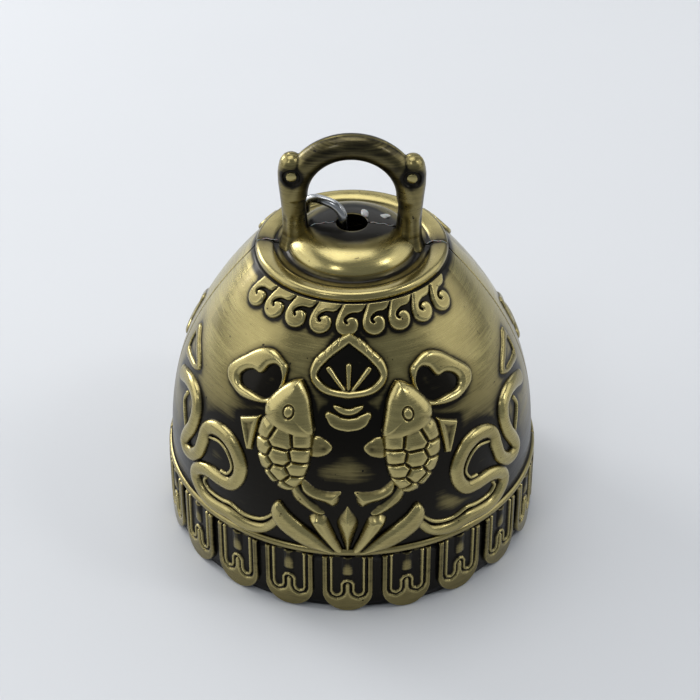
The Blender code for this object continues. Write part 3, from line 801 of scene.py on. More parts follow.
def crown_mesh(name, facing):
    """Flange, trough and rounded cap of a half casting, with the hanger's hole."""
    body = bpy.context.scene.bell_body
    turns = np.radians(np.linspace(-80, 165, 34))
    roll = np.where(np.cos(turns) > 0, FLANGE_ROLL, FLANGE_ROLL + 1.0 * MM)
    rim = np.stack([body.flange_radius + roll * np.cos(turns),
                    body.flange_height + FLANGE_ROLL * np.sin(turns)], axis=1)
    edge = body.cap_radius - CAP_INSET
    trough = [(edge + out * MM, body.cap_foot - down * MM) for out, down in (
        (0.98, 0.46), (0.74, 0.48), (0.46, 0.42), (0.22, 0.26))]
    radii = edge - (edge - body.hole - 0.15 * MM) * np.linspace(0, 1, 36) ** 1.5
    cap = np.stack([radii, cap_level(radii)], axis=1)
    top = body.cap_foot + body.cap_rise
    ceiling = top - body.wall
    lip = [(body.hole + 0.04 * MM, top - 0.08 * MM), (body.hole, top - 0.2 * MM),
           (body.hole, ceiling)]
    inner = [(0.72 * body.cap_radius, ceiling - 0.6 * MM),
             (wall_radius(body.shoulder) - body.wall, body.shoulder - 0.2 * MM),
             (wall_radius(body.shoulder) - 0.4 * MM, body.shoulder - 0.2 * MM)]
    outline = section(np.concatenate([rim, trough, cap, lip, inner]), 0.35 * MM)
    mesh = turned_half(name, outline, facing, 200)
    at = read_points(mesh) / MM
    r, deep = np.hypot(at[:, 0], at[:, 1]), np.abs(at[:, 1])
    # Painted dark reflections round the hanger's hole and, with dark wash, between the legs.
    dark_reflection_round_hole, dark_reflection_and_wash_between_legs = ramp(r, 6.2, 3.6), ramp(deep, 3.6, 0.4)
    trough_dark, flange_dull = np.exp(-((r - 8.75) / 0.35) ** 2), ramp(r, 8.8, 9.6)
    # Painted shadow, with dark wash, on the flange's underside.
    flange_shadow_and_wash = ramp(at[:, 2], 40.75, 40.3) * (r > 9.0)
    seam_dark = np.exp(-np.maximum(deep - body.seam / 2 / MM, 0) / 0.18)
    lift = 0.16 - 0.55 * dark_reflection_round_hole - 0.30 * dark_reflection_and_wash_between_legs - 0.22 * trough_dark
    lift -= 0.10 * flange_dull + 0.6 * flange_shadow_and_wash + 0.5 * seam_dark
    # The rear cap is painted darker: painted shade on it, together with dark patina.
    if facing:
        lift -= 0.20 * ramp(r, 8.6, 7.4)
    mark_wear_and_shade(mesh, 0.7 * MM, 2.6, lift)
    return mesh


# The tongues, in millimetres: a raised line with one bow, from its left top to its right
TONGUE_BOW = [(-2.08, 12.0), (-2.08, 3.35), (-1.9, 2.85), (-1.41, 2.6), (-0.92, 2.85),
              (-0.74, 3.35), (-0.74, 4.55), (-0.45, 5.05), (0.0, 5.2)]
TONGUE_TOP = 9.2
TONGUE_TIP = 3.2
TONGUE_SHARE = 0.86
TONGUE_FLOOR, TONGUE_BORDER, TONGUE_RIDGE, TONGUE_THICK = 0.20, 0.38, 0.36, 0.66


def tongue_face(across, up, outline):
    """Height of a tongue's face above the wall, from millimetres across and up."""
    left = np.array(TONGUE_BOW)
    line = np.concatenate([left, left[-2::-1] * (-1, 1)])
    edge, bow = depth_in(across, up, outline), depth_in(across, up, line)
    gap = line_distance(across, up, line, closed=True)[0]
    border = ramp(-bow, 0.42, 0.58)
    ridge = np.sqrt(np.clip(1 - (gap / 0.22) ** 2, 0, 1))
    pad = np.clip(1 - np.hypot(np.maximum(np.abs(across) - 0.15, 0),
                               np.maximum(6.5 - up, 0)) / 0.62, 0, 1)
    face = TONGUE_FLOOR + TONGUE_BORDER * border + TONGUE_RIDGE * (ridge + np.sqrt(pad))
    rounding = np.sqrt(1 - (1 - np.clip(edge / 0.34, 0, 1)) ** 2)
    return np.minimum(face, TONGUE_THICK * rounding)


def tongue(middle, body, columns=66, rows=96):
    """Points and faces of one tongue, its face raised to its heights, cut off at the seam if
    it meets it.
    """
    half = body.radius / MM * math.radians(180.0 / body.tongues * TONGUE_SHARE)
    tip = 34
    turn = np.radians(np.linspace(9.0, 90.0, tip))
    tip_up = TONGUE_TIP * (1 - np.cos(turn))
    tip_up -= tip_up[0]
    up = np.concatenate([tip_up, np.linspace(tip_up[-1], TONGUE_TOP, rows - tip + 1)[1:]])
    width = np.concatenate([half * np.sin(turn), np.full(rows - tip, half)])
    cut = body.seam / 2 / MM
    low, high = -width, width
    if abs(middle) > 89.0:
        low = np.full(rows, cut) if middle < 0 else low
        high = np.full(rows, -cut) if middle > 0 else high
    share = (1 - np.cos(np.linspace(0, np.pi, columns))) / 2
    across = low[:, None] + (high - low)[:, None] * (0.35 * share + 0.65 * np.linspace(
        0, 1, columns))
    level = np.broadcast_to(up[:, None], across.shape)
    outline = both_sides(np.stack([width, up], axis=1))
    face = tongue_face(across, level, outline) * MM
    angle = np.radians(middle) + across * MM / body.radius
    radius = body.radius + face
    points = around(radius, angle, level * MM)
    rim = np.concatenate([np.arange(columns), np.arange(1, rows) * columns + columns - 1,
                          (rows - 1) * columns + np.arange(columns - 2, -1, -1),
                          np.arange(rows - 2, 0, -1) * columns])
    inner = body.radius - 0.5 * MM
    back = around(inner, angle.ravel()[rim], level.ravel()[rim] * MM)
    count, sides = rows * columns, len(rim)
    faces = quads(rows, columns).reshape(-1, 4).tolist()
    faces += [[int(rim[i]), count + i, count + (i + 1) % sides, int(rim[(i + 1) % sides])]
              for i in range(sides)]
    faces.append(list(range(count + sides - 1, count - 1, -1)))
    return np.concatenate([points.reshape(-1, 3), back]), faces


def skirt_mesh(name, facing):
    """The tongues of one half casting as one mesh of separate closed pieces."""
    body = bpy.context.scene.bell_body
    pitch = 360.0 / body.tongues
    points, faces, count = [], [], 0
    for k in range(-body.tongues // 4, body.tongues // 4 + 1):
        made, sides = tongue(k * pitch, body)
        points.append(made)
        faces += [[corner + count for corner in face] for face in sides]
        count += len(made)
    points = np.concatenate(points)
    spin = Matrix.Rotation(math.radians(facing), 3, 'Z')
    mesh = mesh_from(name, points @ np.array(spin).T, faces)
    radius = np.hypot(points[:, 0], points[:, 1]) - body.radius
    level = points[:, 2] / MM
    turn = np.degrees(np.arctan2(points[:, 0], -points[:, 1]))
    across = np.abs((turn + pitch / 2) % pitch - pitch / 2) * math.radians(body.radius / MM)
    raised = ramp(radius, TONGUE_FLOOR * MM, 0.6 * MM)
    upper_border = ramp(level, 2.6, 5.5) * ramp(across, 2.0, 2.6)
    pad_top = ramp(level, 7.0, 8.6) * ramp(across, 1.0, 0.7)
    lift = raised * 0.42 - 0.50 - 0.16 * upper_border - 0.35 * pad_top
    mark_wear_and_shade(mesh, 0.35 * MM, 4.0, lift)
    return mesh


# Handle

def ring_stack(bm, rings):
    """Loft closed rings of points and close both ends."""
    made = [[bm.verts.new(p) for p in ring] for ring in rings]
    for low, high in zip(made, made[1:]):
        for i in range(len(low)):
            j = (i + 1) % len(low)
            bm.faces.new((low[i], low[j], high[j], high[i]))
    bm.faces.new(made[0][::-1])
    bm.faces.new(made[-1])


def oval(centre, across, depth, tilt=0.0, sides=40):
    """A level oval ring, tilted about the Y axis for the arch."""
    ring = []
    for i in range(sides):
        t = math.tau * i / sides
        x, y = across / 2 * math.cos(t), depth / 2 * math.sin(t)
        ring.append((centre[0] + x * math.cos(tilt), y, centre[1] + x * math.sin(tilt)))
    return ring


# Rings of a leg from its foot and of its knob from the pin, in millimetres: height,
# distance outwards, width and depth
LEG_RINGS = [(-0.5, -0.3, 4.9, 5.2), (0.1, -0.25, 4.3, 4.5), (0.7, -0.2, 3.85, 3.9),
             (1.4, -0.15, 3.5, 3.5), (2.6, -0.05, 3.25, 3.2), (3.8, 0.0, 3.1, 3.1),
             (5.2, 0.1, 3.15, 3.2)]
KNOB_RINGS = [(-2.9, -0.05, 3.35, 3.3), (-1.5, 0.0, 3.55, 3.4), (0.0, 0.06, 3.5, 3.5),
              (0.8, 0.1, 3.2, 3.4), (1.5, 0.12, 2.85, 3.1), (2.0, 0.1, 2.45, 2.7),
              (2.35, 0.08, 1.9, 2.1), (2.58, 0.06, 1.1, 1.3), (2.65, 0.05, 0.5, 0.6)]


def handle_solid():
    """The whole handle in millimetres, as one skin: arch, legs, knobs and feet."""
    grip = bpy.context.scene.bell_handle
    inner, thick, depth = grip.inner / MM, grip.thickness / MM, grip.depth / MM
    height, spread, foot = grip.height / MM, grip.spread / MM, grip.foot_spread / MM
    pin = grip.pin_height / MM
    base = bpy.context.scene.bell_body.cap_foot / MM
    bm = bmesh.new()
    middle = inner + thick / 2
    arch = [oval((middle * math.cos(a), height + middle * math.sin(a)), thick, depth, tilt=a)
            for a in np.linspace(0, math.pi, 49)]
    tail = [oval((middle + 0.15, height - 2.6), 2.0, 2.2),
            oval((middle + 0.05, height - 1.1), 2.9, 3.1)]
    ring_stack(bm, tail + arch + [[(-x, y, z) for x, y, z in ring[::-1]]
                                  for ring in tail[::-1]])
    stack = [(base + up, foot + out, w, d) for up, out, w, d in LEG_RINGS]
    stack += [(pin + up, spread + out, w, d) for up, out, w, d in KNOB_RINGS]
    for side in (-1, 1):
        ring_stack(bm, [oval((side * x, z), w, d) for z, x, w, d in stack])
    return from_bmesh("handle_solid", bm)


def skinned(mesh, voxel, rounds):
    """One even skin round overlapping solids."""
    holder = bpy.data.objects.new("skin", mesh)
    bpy.context.scene.collection.objects.link(holder)
    remesh = holder.modifiers.new("skin", 'REMESH')
    remesh.mode = 'VOXEL'
    remesh.voxel_size = voxel
    soften = holder.modifiers.new("soften", 'SMOOTH')
    soften.factor, soften.iterations = 0.5, rounds
    view = bpy.context.evaluated_depsgraph_get()
    made = bpy.data.meshes.new_from_object(holder.evaluated_get(view))
    bpy.data.objects.remove(holder)
    bpy.data.meshes.remove(mesh)
    return made


def handle_halves():
    """Front and rear halves of the handle, with pin recesses and fluted feet."""
    grip = bpy.context.scene.bell_handle
    body = bpy.context.scene.bell_body
    skin = skinned(handle_solid(), voxel=0.11, rounds=3)
    points = read_points(skin)
    spread, pin = grip.spread / MM, grip.pin_height / MM
    offset = np.abs(points[:, 0]) - spread
    away = np.hypot(offset, points[:, 2] - pin)
    recess, flute_depth, flutes = 0.38, 0.05, 9
    sunk = recess * ramp(away, 1.22, 0.98)
    face = ramp(np.abs(points[:, 1]), 0.6, 1.0)
    points[:, 1] -= np.sign(points[:, 1]) * sunk * face
    base = body.cap_foot / MM
    foot_x = np.sign(points[:, 0]) * (grip.foot_spread / MM - 0.15)
    bearing = np.arctan2(points[:, 1], points[:, 0] - foot_x)
    flute = flute_depth * np.cos(flutes * bearing) * ramp(
        points[:, 2], base + 5.0, base + 3.9) * ramp(np.abs(points[:, 0]), 4.0, 4.6)
    points[:, 0] += flute * np.cos(bearing)
    points[:, 1] += flute * np.sin(bearing)
    skin.vertices.foreach_set("co", (points * MM).ravel())
    skin.update()
    made = {}
    for name, facing in HALVES.items():
        side = -1 if facing == 0.0 else 1
        bm = bmesh.new()
        bm.from_mesh(skin)
        cut = bmesh.ops.bisect_plane(bm, geom=bm.verts[:] + bm.edges[:] + bm.faces[:],
                                     plane_co=(0, side * body.seam / 2, 0),
                                     plane_no=(0, -side, 0), clear_outer=True)
        edges = [e for e in cut["geom_cut"] if isinstance(e, bmesh.types.BMEdge)]
        bmesh.ops.triangle_fill(bm, edges=edges, use_beauty=True, use_dissolve=False)
        bmesh.ops.recalc_face_normals(bm, faces=bm.faces)
        mesh = from_bmesh(f"{name}_handle", bm)
        across, deep, up = (np.abs(read_points(mesh)) / MM).T
        # The arch's top is darker: dark patina together with a painted dark reflection of the
        # room above.
        arch_patina_and_dark_reflection = ramp(up, pin - 2.5, pin + 1.5) * ramp(across, 7.2, 5.6)
        knobs = ramp(up, pin + 0.2, pin + 1.6) * ramp(across, 6.4, 7.0)
        ring = np.hypot(across - spread, up - pin)
        eyes = np.exp(-((ring - 1.15) / 0.42) ** 2)
        seam_side = ramp(deep, 1.3, 0.2) * ramp(up, pin + 1.0, pin - 2.0)
        mark_wear_and_shade(mesh, 0.6 * MM, 2.2, -0.12 - 0.22 * arch_patina_and_dark_reflection + 0.02 * knobs - 0.5 * eyes
                  - 0.25 * seam_side)
        made[name] = mesh
    bpy.data.meshes.remove(skin)
    return made


# Wires, pins and clapper

def tube_mesh(name, route, radius, sides=18):
    """A round wire along a route, with rounded ends."""
    route = np.asarray(route, float)
    gaps = np.linalg.norm(np.diff(route, axis=0), axis=1)
    route = route[np.concatenate([[True], gaps > 1e-6])]
    along = np.concatenate([[0], np.cumsum(np.linalg.norm(np.diff(route, axis=0), axis=1))])
    count = max(8, int(along[-1] / (0.25 * MM)))
    even = np.linspace(0, along[-1], count)
    line = np.stack([np.interp(even, along, route[:, axis]) for axis in range(3)], axis=1)
    for _ in range(2):
        line[1:-1] = 0.25 * line[:-2] + 0.5 * line[1:-1] + 0.25 * line[2:]
    tangent = np.gradient(line, axis=0)
    tangent /= np.linalg.norm(tangent, axis=1)[:, None]
    side = Vector(tangent[0]).orthogonal().normalized()
    frames = []
    for i in range(count):
        t = Vector(tangent[i])
        side = (side - t * side.dot(t)).normalized()
        frames.append((side.copy(), t.cross(side)))
    rings = []
    cap = [(math.cos(a), math.sin(a)) for a in np.radians([78, 55, 30])]
    stations = [(line[0] - tangent[0] * radius * 0.35 * s, 0, c) for c, s in cap]
    stations += [(line[i], i, 1.0) for i in range(count)]
    stations += [(line[-1] + tangent[-1] * radius * 0.35 * s, count - 1, c)
                 for c, s in reversed(cap)]
    for place, i, share in stations:
        a, b = frames[i]
        rings.append([Vector(place) + radius * share * (a * math.cos(t) + b * math.sin(t))
                      for t in np.linspace(0, math.tau, sides, endpoint=False)])
    bm = bmesh.new()
    ring_stack(bm, rings)
    bmesh.ops.recalc_face_normals(bm, faces=bm.faces)
    return from_bmesh(name, bm)


def eye_route(radius, fillet):
    """Flat route of an eye centred on (0, 0), from its shank on +Y round to its tip."""
    rise = math.sqrt(radius ** 2 + 2 * radius * fillet)
    meet = math.degrees(math.atan2(rise, fillet))
    bend = arc((fillet, rise), fillet, 180, 180 + meet, 10)
    return np.concatenate([bend, arc((0, 0), radius, meet, -233, 60)[1:]])


def spun(name, outline, steps):
    """A closed solid turned about Z from an outline of (radius, height)."""
    bm = bmesh.new()
    corners = [bm.verts.new((r, 0.0, z)) for r, z in outline]
    edges = [bm.edges.new(pair) for pair in zip(corners, corners[1:])]
    bmesh.ops.spin(bm, geom=corners + edges, cent=(0, 0, 0), axis=(0, 0, 1),
                   angle=math.tau, steps=steps, use_merge=True)
    bmesh.ops.remove_doubles(bm, verts=bm.verts, dist=0.0005 * MM)
    bmesh.ops.recalc_face_normals(bm, faces=bm.faces)
    return from_bmesh(name, bm)


# Finishes

def new_group(name, inputs, outputs):
    """An empty shader group with named sockets, and its two end nodes."""
    group = bpy.data.node_groups.new(name, 'ShaderNodeTree')
    for label, kind, value in inputs:
        socket = group.interface.new_socket(label, in_out='INPUT', socket_type=kind)
        socket.default_value = value
    for label, kind in outputs:
        group.interface.new_socket(label, in_out='OUTPUT', socket_type=kind)
    return (group, group.nodes.new('NodeGroupInput'), group.nodes.new('NodeGroupOutput'))


def feed(tree, socket, value):
    """Feed a socket from another one, or set it to a plain value."""
    if isinstance(value, bpy.types.NodeSocket):
        tree.links.new(value, socket)
    elif value is not None:
        socket.default_value = value


def math_node(tree, operation, a, b=None, c=None, clamp=False):
    """A maths node fed by sockets or numbers."""
    node = tree.nodes.new('ShaderNodeMath')
    node.operation, node.use_clamp = operation, clamp
    for socket, value in zip(node.inputs, (a, b, c)):
        feed(tree, socket, value)
    return node.outputs[0]


def step_node(tree, value, low, high, to_low=0.0, to_high=1.0):
    """A smooth step of a value between two limits."""
    node = tree.nodes.new('ShaderNodeMapRange')
    node.interpolation_type = 'SMOOTHSTEP'
    for label, number in (("Value", value), ("From Min", low), ("From Max", high),
                          ("To Min", to_low), ("To Max", to_high)):
        feed(tree, node.inputs[label], number)
    return node.outputs["Result"]


def mix_node(tree, share, a, b):
    """A mix of two colours."""
    node = tree.nodes.new('ShaderNodeMix')
    node.data_type = 'RGBA'
    for socket, value in ((node.inputs["Factor"], share), (node.inputs[6], a),
                          (node.inputs[7], b)):
        feed(tree, socket, value)
    return node.outputs[2]


def noise_node(tree, where, scale, detail=3.0, rough=0.55, stretch=None):
    """Noise in the piece's own space, stretched if asked."""
    if stretch:
        mapping = tree.nodes.new('ShaderNodeMapping')
        mapping.inputs["Scale"].default_value = stretch
        tree.links.new(where, mapping.inputs["Vector"])
        where = mapping.outputs[0]
    node = tree.nodes.new('ShaderNodeTexNoise')
    for label, value in (("Vector", where), ("Scale", scale), ("Detail", detail),
                         ("Roughness", rough)):
        feed(tree, node.inputs[label], value)
    return node.outputs["Fac"]


FINE_SCRATCHES = (260.0, 260.0, 5200.0)
BROAD_SCRATCHES = (110.0, 110.0, 1500.0)
DRAWN_LINES = (4200.0, 4200.0, 700.0)


def brushed_group():
    """Fine level scratches and small pits: masks and a height."""
    tree, ins, outs = new_group(
        "brushed metal", [("Vector", 'NodeSocketVector', (0, 0, 0)),
                          ("Scratches", 'NodeSocketFloat', 1.0),
                          ("Pits", 'NodeSocketFloat', 1.0)],
        [("Scratch", 'NodeSocketFloat'), ("Pit", 'NodeSocketFloat'),
         ("Cloud", 'NodeSocketFloat'), ("Height", 'NodeSocketFloat')])
    where = ins.outputs["Vector"]
    fine = noise_node(tree, where, 1.0, 3.0, 0.6, FINE_SCRATCHES)
    broad = noise_node(tree, where, 1.0, 2.0, 0.5, BROAD_SCRATCHES)
    scratch = math_node(tree, 'ADD', math_node(tree, 'MULTIPLY', fine, 0.6),
                        math_node(tree, 'MULTIPLY', broad, 0.4))
    scratch = step_node(tree, scratch, 0.34, 0.66)
    cell = tree.nodes.new('ShaderNodeTexVoronoi')
    cell.inputs["Scale"].default_value = 1500.0
    tree.links.new(where, cell.inputs["Vector"])
    sparse = step_node(tree, noise_node(tree, where, 700.0, 2.0), 0.60, 0.68)
    pit = math_node(tree, 'MULTIPLY', step_node(tree, cell.outputs["Distance"], 0.26, 0.10),
                    sparse)
    pit = math_node(tree, 'MULTIPLY', pit, ins.outputs["Pits"])
    cloud = noise_node(tree, where, 170.0, 4.0, 0.6)
    grain = math_node(tree, 'MULTIPLY', noise_node(tree, where, 1900.0, 2.0), 0.8)
    height = math_node(tree, 'SUBTRACT',
                       math_node(tree, 'MULTIPLY', math_node(
                           tree, 'MULTIPLY', scratch, 0.35), ins.outputs["Scratches"]), pit)
    height = math_node(tree, 'ADD', height, grain)
    for label, value in (("Scratch", scratch), ("Pit", pit), ("Cloud", cloud),
                         ("Height", height)):
        tree.links.new(value, outs.inputs[label])
    return tree


def plating_group():
    """Antique plating: bright on crests, patina in hollows and in painted shade, streaked
    between.
    """
    tree, ins, outs = new_group(
        "antique plating", [("Wear and shade", 'NodeSocketFloat', 0.5),
                            ("Scratch", 'NodeSocketFloat', 0.5),
                            ("Pit", 'NodeSocketFloat', 0.0),
                            ("Cloud", 'NodeSocketFloat', 0.5),
                            ("Bright", 'NodeSocketColor', (0.5, 0.4, 0.2, 1)),
                            ("Open", 'NodeSocketColor', (0.3, 0.25, 0.13, 1)),
                            ("Dark", 'NodeSocketColor', (0.04, 0.04, 0.03, 1))],
        [("Color", 'NodeSocketColor'), ("Roughness", 'NodeSocketFloat'),
         ("Mask", 'NodeSocketFloat')])
    worn = math_node(tree, 'ADD', ins.outputs["Wear and shade"], math_node(
        tree, 'MULTIPLY_ADD', ins.outputs["Scratch"], 0.10, -0.05))
    worn = math_node(tree, 'ADD', worn, math_node(
        tree, 'MULTIPLY_ADD', ins.outputs["Cloud"], 0.30, -0.15))
    worn = math_node(tree, 'SUBTRACT', worn, math_node(
        tree, 'MULTIPLY', ins.outputs["Pit"], 0.5), clamp=True)
    low = mix_node(tree, step_node(tree, worn, 0.10, 0.50), ins.outputs["Dark"],
                   ins.outputs["Open"])
    colour = mix_node(tree, step_node(tree, worn, 0.45, 0.85), low, ins.outputs["Bright"])
    rough = math_node(tree, 'ADD', step_node(tree, worn, 0.1, 0.8, 0.34, 0.25), math_node(
        tree, 'MULTIPLY_ADD', ins.outputs["Scratch"], 0.10, -0.05))
    for label, value in (("Color", colour), ("Roughness", rough), ("Mask", worn)):
        tree.links.new(value, outs.inputs[label])
    return tree


def new_material(name):
    """An empty material, its tree and its Principled shader."""
    made = bpy.data.materials.new(name)
    made.use_nodes = True
    return made, made.node_tree, made.node_tree.nodes["Principled BSDF"]


def object_space(tree):
    """Coordinates in the piece's own space."""
    return tree.nodes.new('ShaderNodeTexCoord').outputs["Object"]


def dent(tree, shader, height, strength, distance):
    """Roughen a shader's surface by a height."""
    bump = tree.nodes.new('ShaderNodeBump')
    for label, value in (("Strength", strength), ("Distance", distance), ("Height", height)):
        feed(tree, bump.inputs[label], value)
    tree.links.new(bump.outputs[0], shader.inputs["Normal"])


def mottle(tree, shader, share, colour, dimmed):
    """Vary a shader's colour between itself and a dimmed one."""
    dim = tuple(c * dimmed for c in colour)
    tree.links.new(mix_node(tree, share, (*dim, 1.0), (*colour, 1.0)),
                   shader.inputs["Base Color"])


def plated(name, bright, open_colour, dark, wear_and_shade=None, bump=0.25):
    """Antique plated casting, its worn brightness and painted shade from the mesh or a plain
    number.
    """
    made, tree, shader = new_material(name)
    brushed = tree.nodes.new('ShaderNodeGroup')
    brushed.node_tree = bpy.data.node_groups["brushed metal"]
    tree.links.new(object_space(tree), brushed.inputs["Vector"])
    plating = tree.nodes.new('ShaderNodeGroup')
    plating.node_tree = bpy.data.node_groups["antique plating"]
    for label in ("Scratch", "Pit", "Cloud"):
        tree.links.new(brushed.outputs[label], plating.inputs[label])
    if wear_and_shade is None:
        stored = tree.nodes.new('ShaderNodeAttribute')
        stored.attribute_name = "wear_and_shade"
        tree.links.new(stored.outputs["Fac"], plating.inputs["Wear and shade"])
    else:
        plating.inputs["Wear and shade"].default_value = wear_and_shade
    for label, colour in (("Bright", bright), ("Open", open_colour), ("Dark", dark)):
        plating.inputs[label].default_value = (*colour, 1.0)
    dent(tree, shader, brushed.outputs["Height"], bump, 0.04 * MM)
    tree.links.new(plating.outputs["Color"], shader.inputs["Base Color"])
    tree.links.new(plating.outputs["Roughness"], shader.inputs["Roughness"])
    shader.inputs["Metallic"].default_value = 1.0
    shader.inputs["Coat Weight"].default_value = 0.14
    shader.inputs["Coat Roughness"].default_value = 0.12
    return made


def drawn_wire(name, colour):
    """Bright drawn steel wire with faint scratches."""
    made, tree, shader = new_material(name)
    where = object_space(tree)
    mottled = noise_node(tree, where, 420.0, 4.0)
    lines = noise_node(tree, where, 1.0, 2.0, 0.5, DRAWN_LINES)
    mottle(tree, shader, mottled, colour, 0.86)
    tree.links.new(step_node(tree, lines, 0.3, 0.7, 0.16, 0.26), shader.inputs["Roughness"])
    dent(tree, shader, lines, 0.04, 0.02 * MM)
    shader.inputs["Metallic"].default_value = 1.0
    return made


def dried_glue(name, colour):
    """Milky dried glue."""
    made, tree, shader = new_material(name)
    milky = noise_node(tree, object_space(tree), 900.0, 3.0)
    mottle(tree, shader, milky, colour, 0.8)
    tree.links.new(step_node(tree, milky, 0.3, 0.7, 0.25, 0.4), shader.inputs["Roughness"])
    shader.inputs["Subsurface Weight"].default_value = 0.3
    shader.inputs["Subsurface Scale"].default_value = 0.5 * MM
    return made


def table_top(name, colour):
    """Smooth pale board."""
    made, tree, shader = new_material(name)
    even = noise_node(tree, object_space(tree), 18.0, 3.0)
    mottle(tree, shader, even, colour, 0.97)
    tree.links.new(step_node(tree, even, 0.2, 0.8, 0.55, 0.62), shader.inputs["Roughness"])
    shader.inputs["Specular IOR Level"].default_value = 0.3
    return made


# Operators

class BELL_OT_finishes(bpy.types.Operator):
    """Make the finishes that the pieces use"""
    bl_idname = "bell.finishes"
    bl_label = "Finishes"

    def execute(self, context):
        finish = context.scene.bell_finish
        brushed_group()
        plating_group()
        bronze, olive, dark = (tuple(c) for c in (finish.bronze, finish.olive,
                                                  finish.patina_and_shade))
        plated("antique bronze", bronze, olive, dark)
        plated("pin bronze", bronze, olive, dark, wear_and_shade=0.72)
        plated("clapper bronze", bronze, olive, dark, wear_and_shade=0.45, bump=0.5)
        drawn_wire("steel wire", tuple(finish.steel))
        dried_glue("dried glue", tuple(finish.glue))
        table_top("table top", tuple(finish.floor))
        return {'FINISHED'}


class BELL_OT_castings(bpy.types.Operator):
    """Make the walls, skirts and crowns of both half castings"""
    bl_idname = "bell.castings"
    bl_label = "Half castings"

    def execute(self, context):
        for half, facing in HALVES.items():
            for part, build in (("wall", wall_mesh), ("skirt", skirt_mesh),
                                ("crown", crown_mesh)):
                name = f"{half}_{part}"
                link(name, build(name, facing), "antique bronze", f"{half}_half")
        return {'FINISHED'}


class BELL_OT_relief(bpy.types.Operator):
    """Make the relief that stands out of both walls"""
    bl_idname = "bell.relief"
    bl_label = "Relief"

    def execute(self, context):
        for half, facing in HALVES.items():
            for part, (shape, turns, heights, mirrored) in ORNAMENTS.items():
                for side in (("left", "right") if mirrored else ("",)):
                    name = "_".join(filter(None, (half, side, part)))
                    mesh = relief_mesh(name, shape, turns, heights, facing, side == "right")
                    link(name, mesh, "antique bronze", f"{half}_half")
        return {'FINISHED'}


class BELL_OT_handle(bpy.types.Operator):
    """Make both halves of the handle and its pins"""
    bl_idname = "bell.handle"
    bl_label = "Handle"

    def execute(self, context):
        for half, mesh in handle_halves().items():
            link(f"{half}_handle", mesh, "antique bronze", f"{half}_half")
        grip = context.scene.bell_handle
        for side, (low, high) in PINS.items():
            reach = (high[1] - low[1]) / 2
            r = grip.pin_radius
            dome = [(r * math.sin(a), reach - 0.22 * MM * (1 - math.cos(a)))
                    for a in np.radians(np.linspace(0, 80, 9))]
            outline = [(x, -y) for x, y in dome] + dome[::-1]
            mesh = spun(f"{side}_handle_pin", outline, 48)
            middle = ((low[0] + high[0]) / 2, (low[1] + high[1]) / 2,
                      (low[2] + high[2]) / 2)
            mesh.transform(Matrix.Translation(middle)
                           @ Matrix.Rotation(math.pi / 2, 4, 'X'))
            link(f"{side}_handle_pin", mesh, "pin bronze", f"{side}_pin")
        return {'FINISHED'}


class BELL_OT_wirework(bpy.types.Operator):
    """Make the hanger, the link and the clapper"""
    bl_idname = "bell.wirework"
    bl_label = "Wirework and clapper"

    def execute(self, context):
        wire = context.scene.bell_wire
        pivots = {j["name"]: Vector(j["pos_m"])
                  for j in frame["record"]["behaviour"]["joints"]}
        over, upper, lower = (pivots[name] for name in (
            "hanger_swivel", "link_swing", "clapper_swing"))
        eye = eye_route(wire.eye, wire.fillet)
        seat = 2 * wire.radius + wire.play
        hook = []
        for x, z in arc((0, 0), 1.0, 180, 0, 60):
            reach = wire.hook * (1 - math.copysign(abs(x) ** wire.hook_square, x))
            hook.append((over.x + reach * math.cos(wire.hook_turn),
                         reach * math.sin(wire.hook_turn),
                         over.z + wire.hook_rise * max(z, 0.0) ** wire.hook_square))
        hanger = hook + [(upper.x + x, 0.0, upper.z + wire.eye + z) for x, z in eye]
        link("hanger_wire", tube_mesh("hanger_wire", hanger, wire.radius), "steel wire",
             "hanger_hook", "hanger")
        top, bottom = upper.z + seat - wire.eye, lower.z + wire.eye
        rod = [(upper.x, y, top - z) for y, z in eye][::-1] + [
            (upper.x, -y, bottom + z) for y, z in eye]
        link("link_wire", tube_mesh("link_wire", rod, wire.radius), "steel wire",
             "clapper_link", "link")
        top = lower.z + seat - wire.eye
        bob_top = lower.z + wire.bob_length - wire.bob_radius - wire.bob_drop
        socket, clearance = 4.0 * MM, 0.2 * MM
        stem = [(lower.x + x, 0.0, top - z) for x, z in eye][::-1] + [
            (lower.x, 0.0, bob_top - socket + clearance)]
        link("stem_wire", tube_mesh("stem_wire", stem, wire.radius), "steel wire",
             "clapper_stem", "clapper")
        r, drop = wire.bob_radius, lower.z - wire.bob_drop
        bore = wire.radius + 0.15 * MM
        swell = [(max(x, 0.0), z) for x, z in arc((0.0, drop), r, -90, 18, 28)]
        neck = [(0.64 * r, drop + 0.62 * r), (0.50 * r, drop + 0.80 * r),
                (wire.bob_neck, bob_top - 0.6 * MM),
                (0.93 * wire.bob_neck, bob_top - 0.2 * MM), (0.8 * wire.bob_neck, bob_top)]
        outline = swell + [tuple(p) for p in rounded([swell[-1]] + neck, False, 4)[1:]]
        outline += [(bore + 0.1 * MM, bob_top), (bore, bob_top - 0.1 * MM),
                    (bore, bob_top - socket), (0.0, bob_top - socket)]
        mesh = spun("clapper_striker", outline, 80)
        mesh.transform(Matrix.Translation((lower.x, 0.0, 0.0)))
        link("clapper_striker", mesh, "clapper bronze", "clapper_bob", "clapper")
        return {'FINISHED'}


# Drops of glue on the cap: place and half sizes; threads in the seam: from and to along
# it; all in millimetres
GLUE_DROPS = {"glue_drop": ((1.6, 2.1), (0.58, 0.85, 0.32)),
              "small_glue_drop": ((4.1, 2.0), (0.70, 0.50, 0.12))}
GLUE_THREADS = {"left_glue_thread": (-5.2, -2.3), "right_glue_thread": (2.4, 5.3),
                "left_flange_glue": (-12.2, -9.6), "right_flange_glue": (9.6, 12.2)}


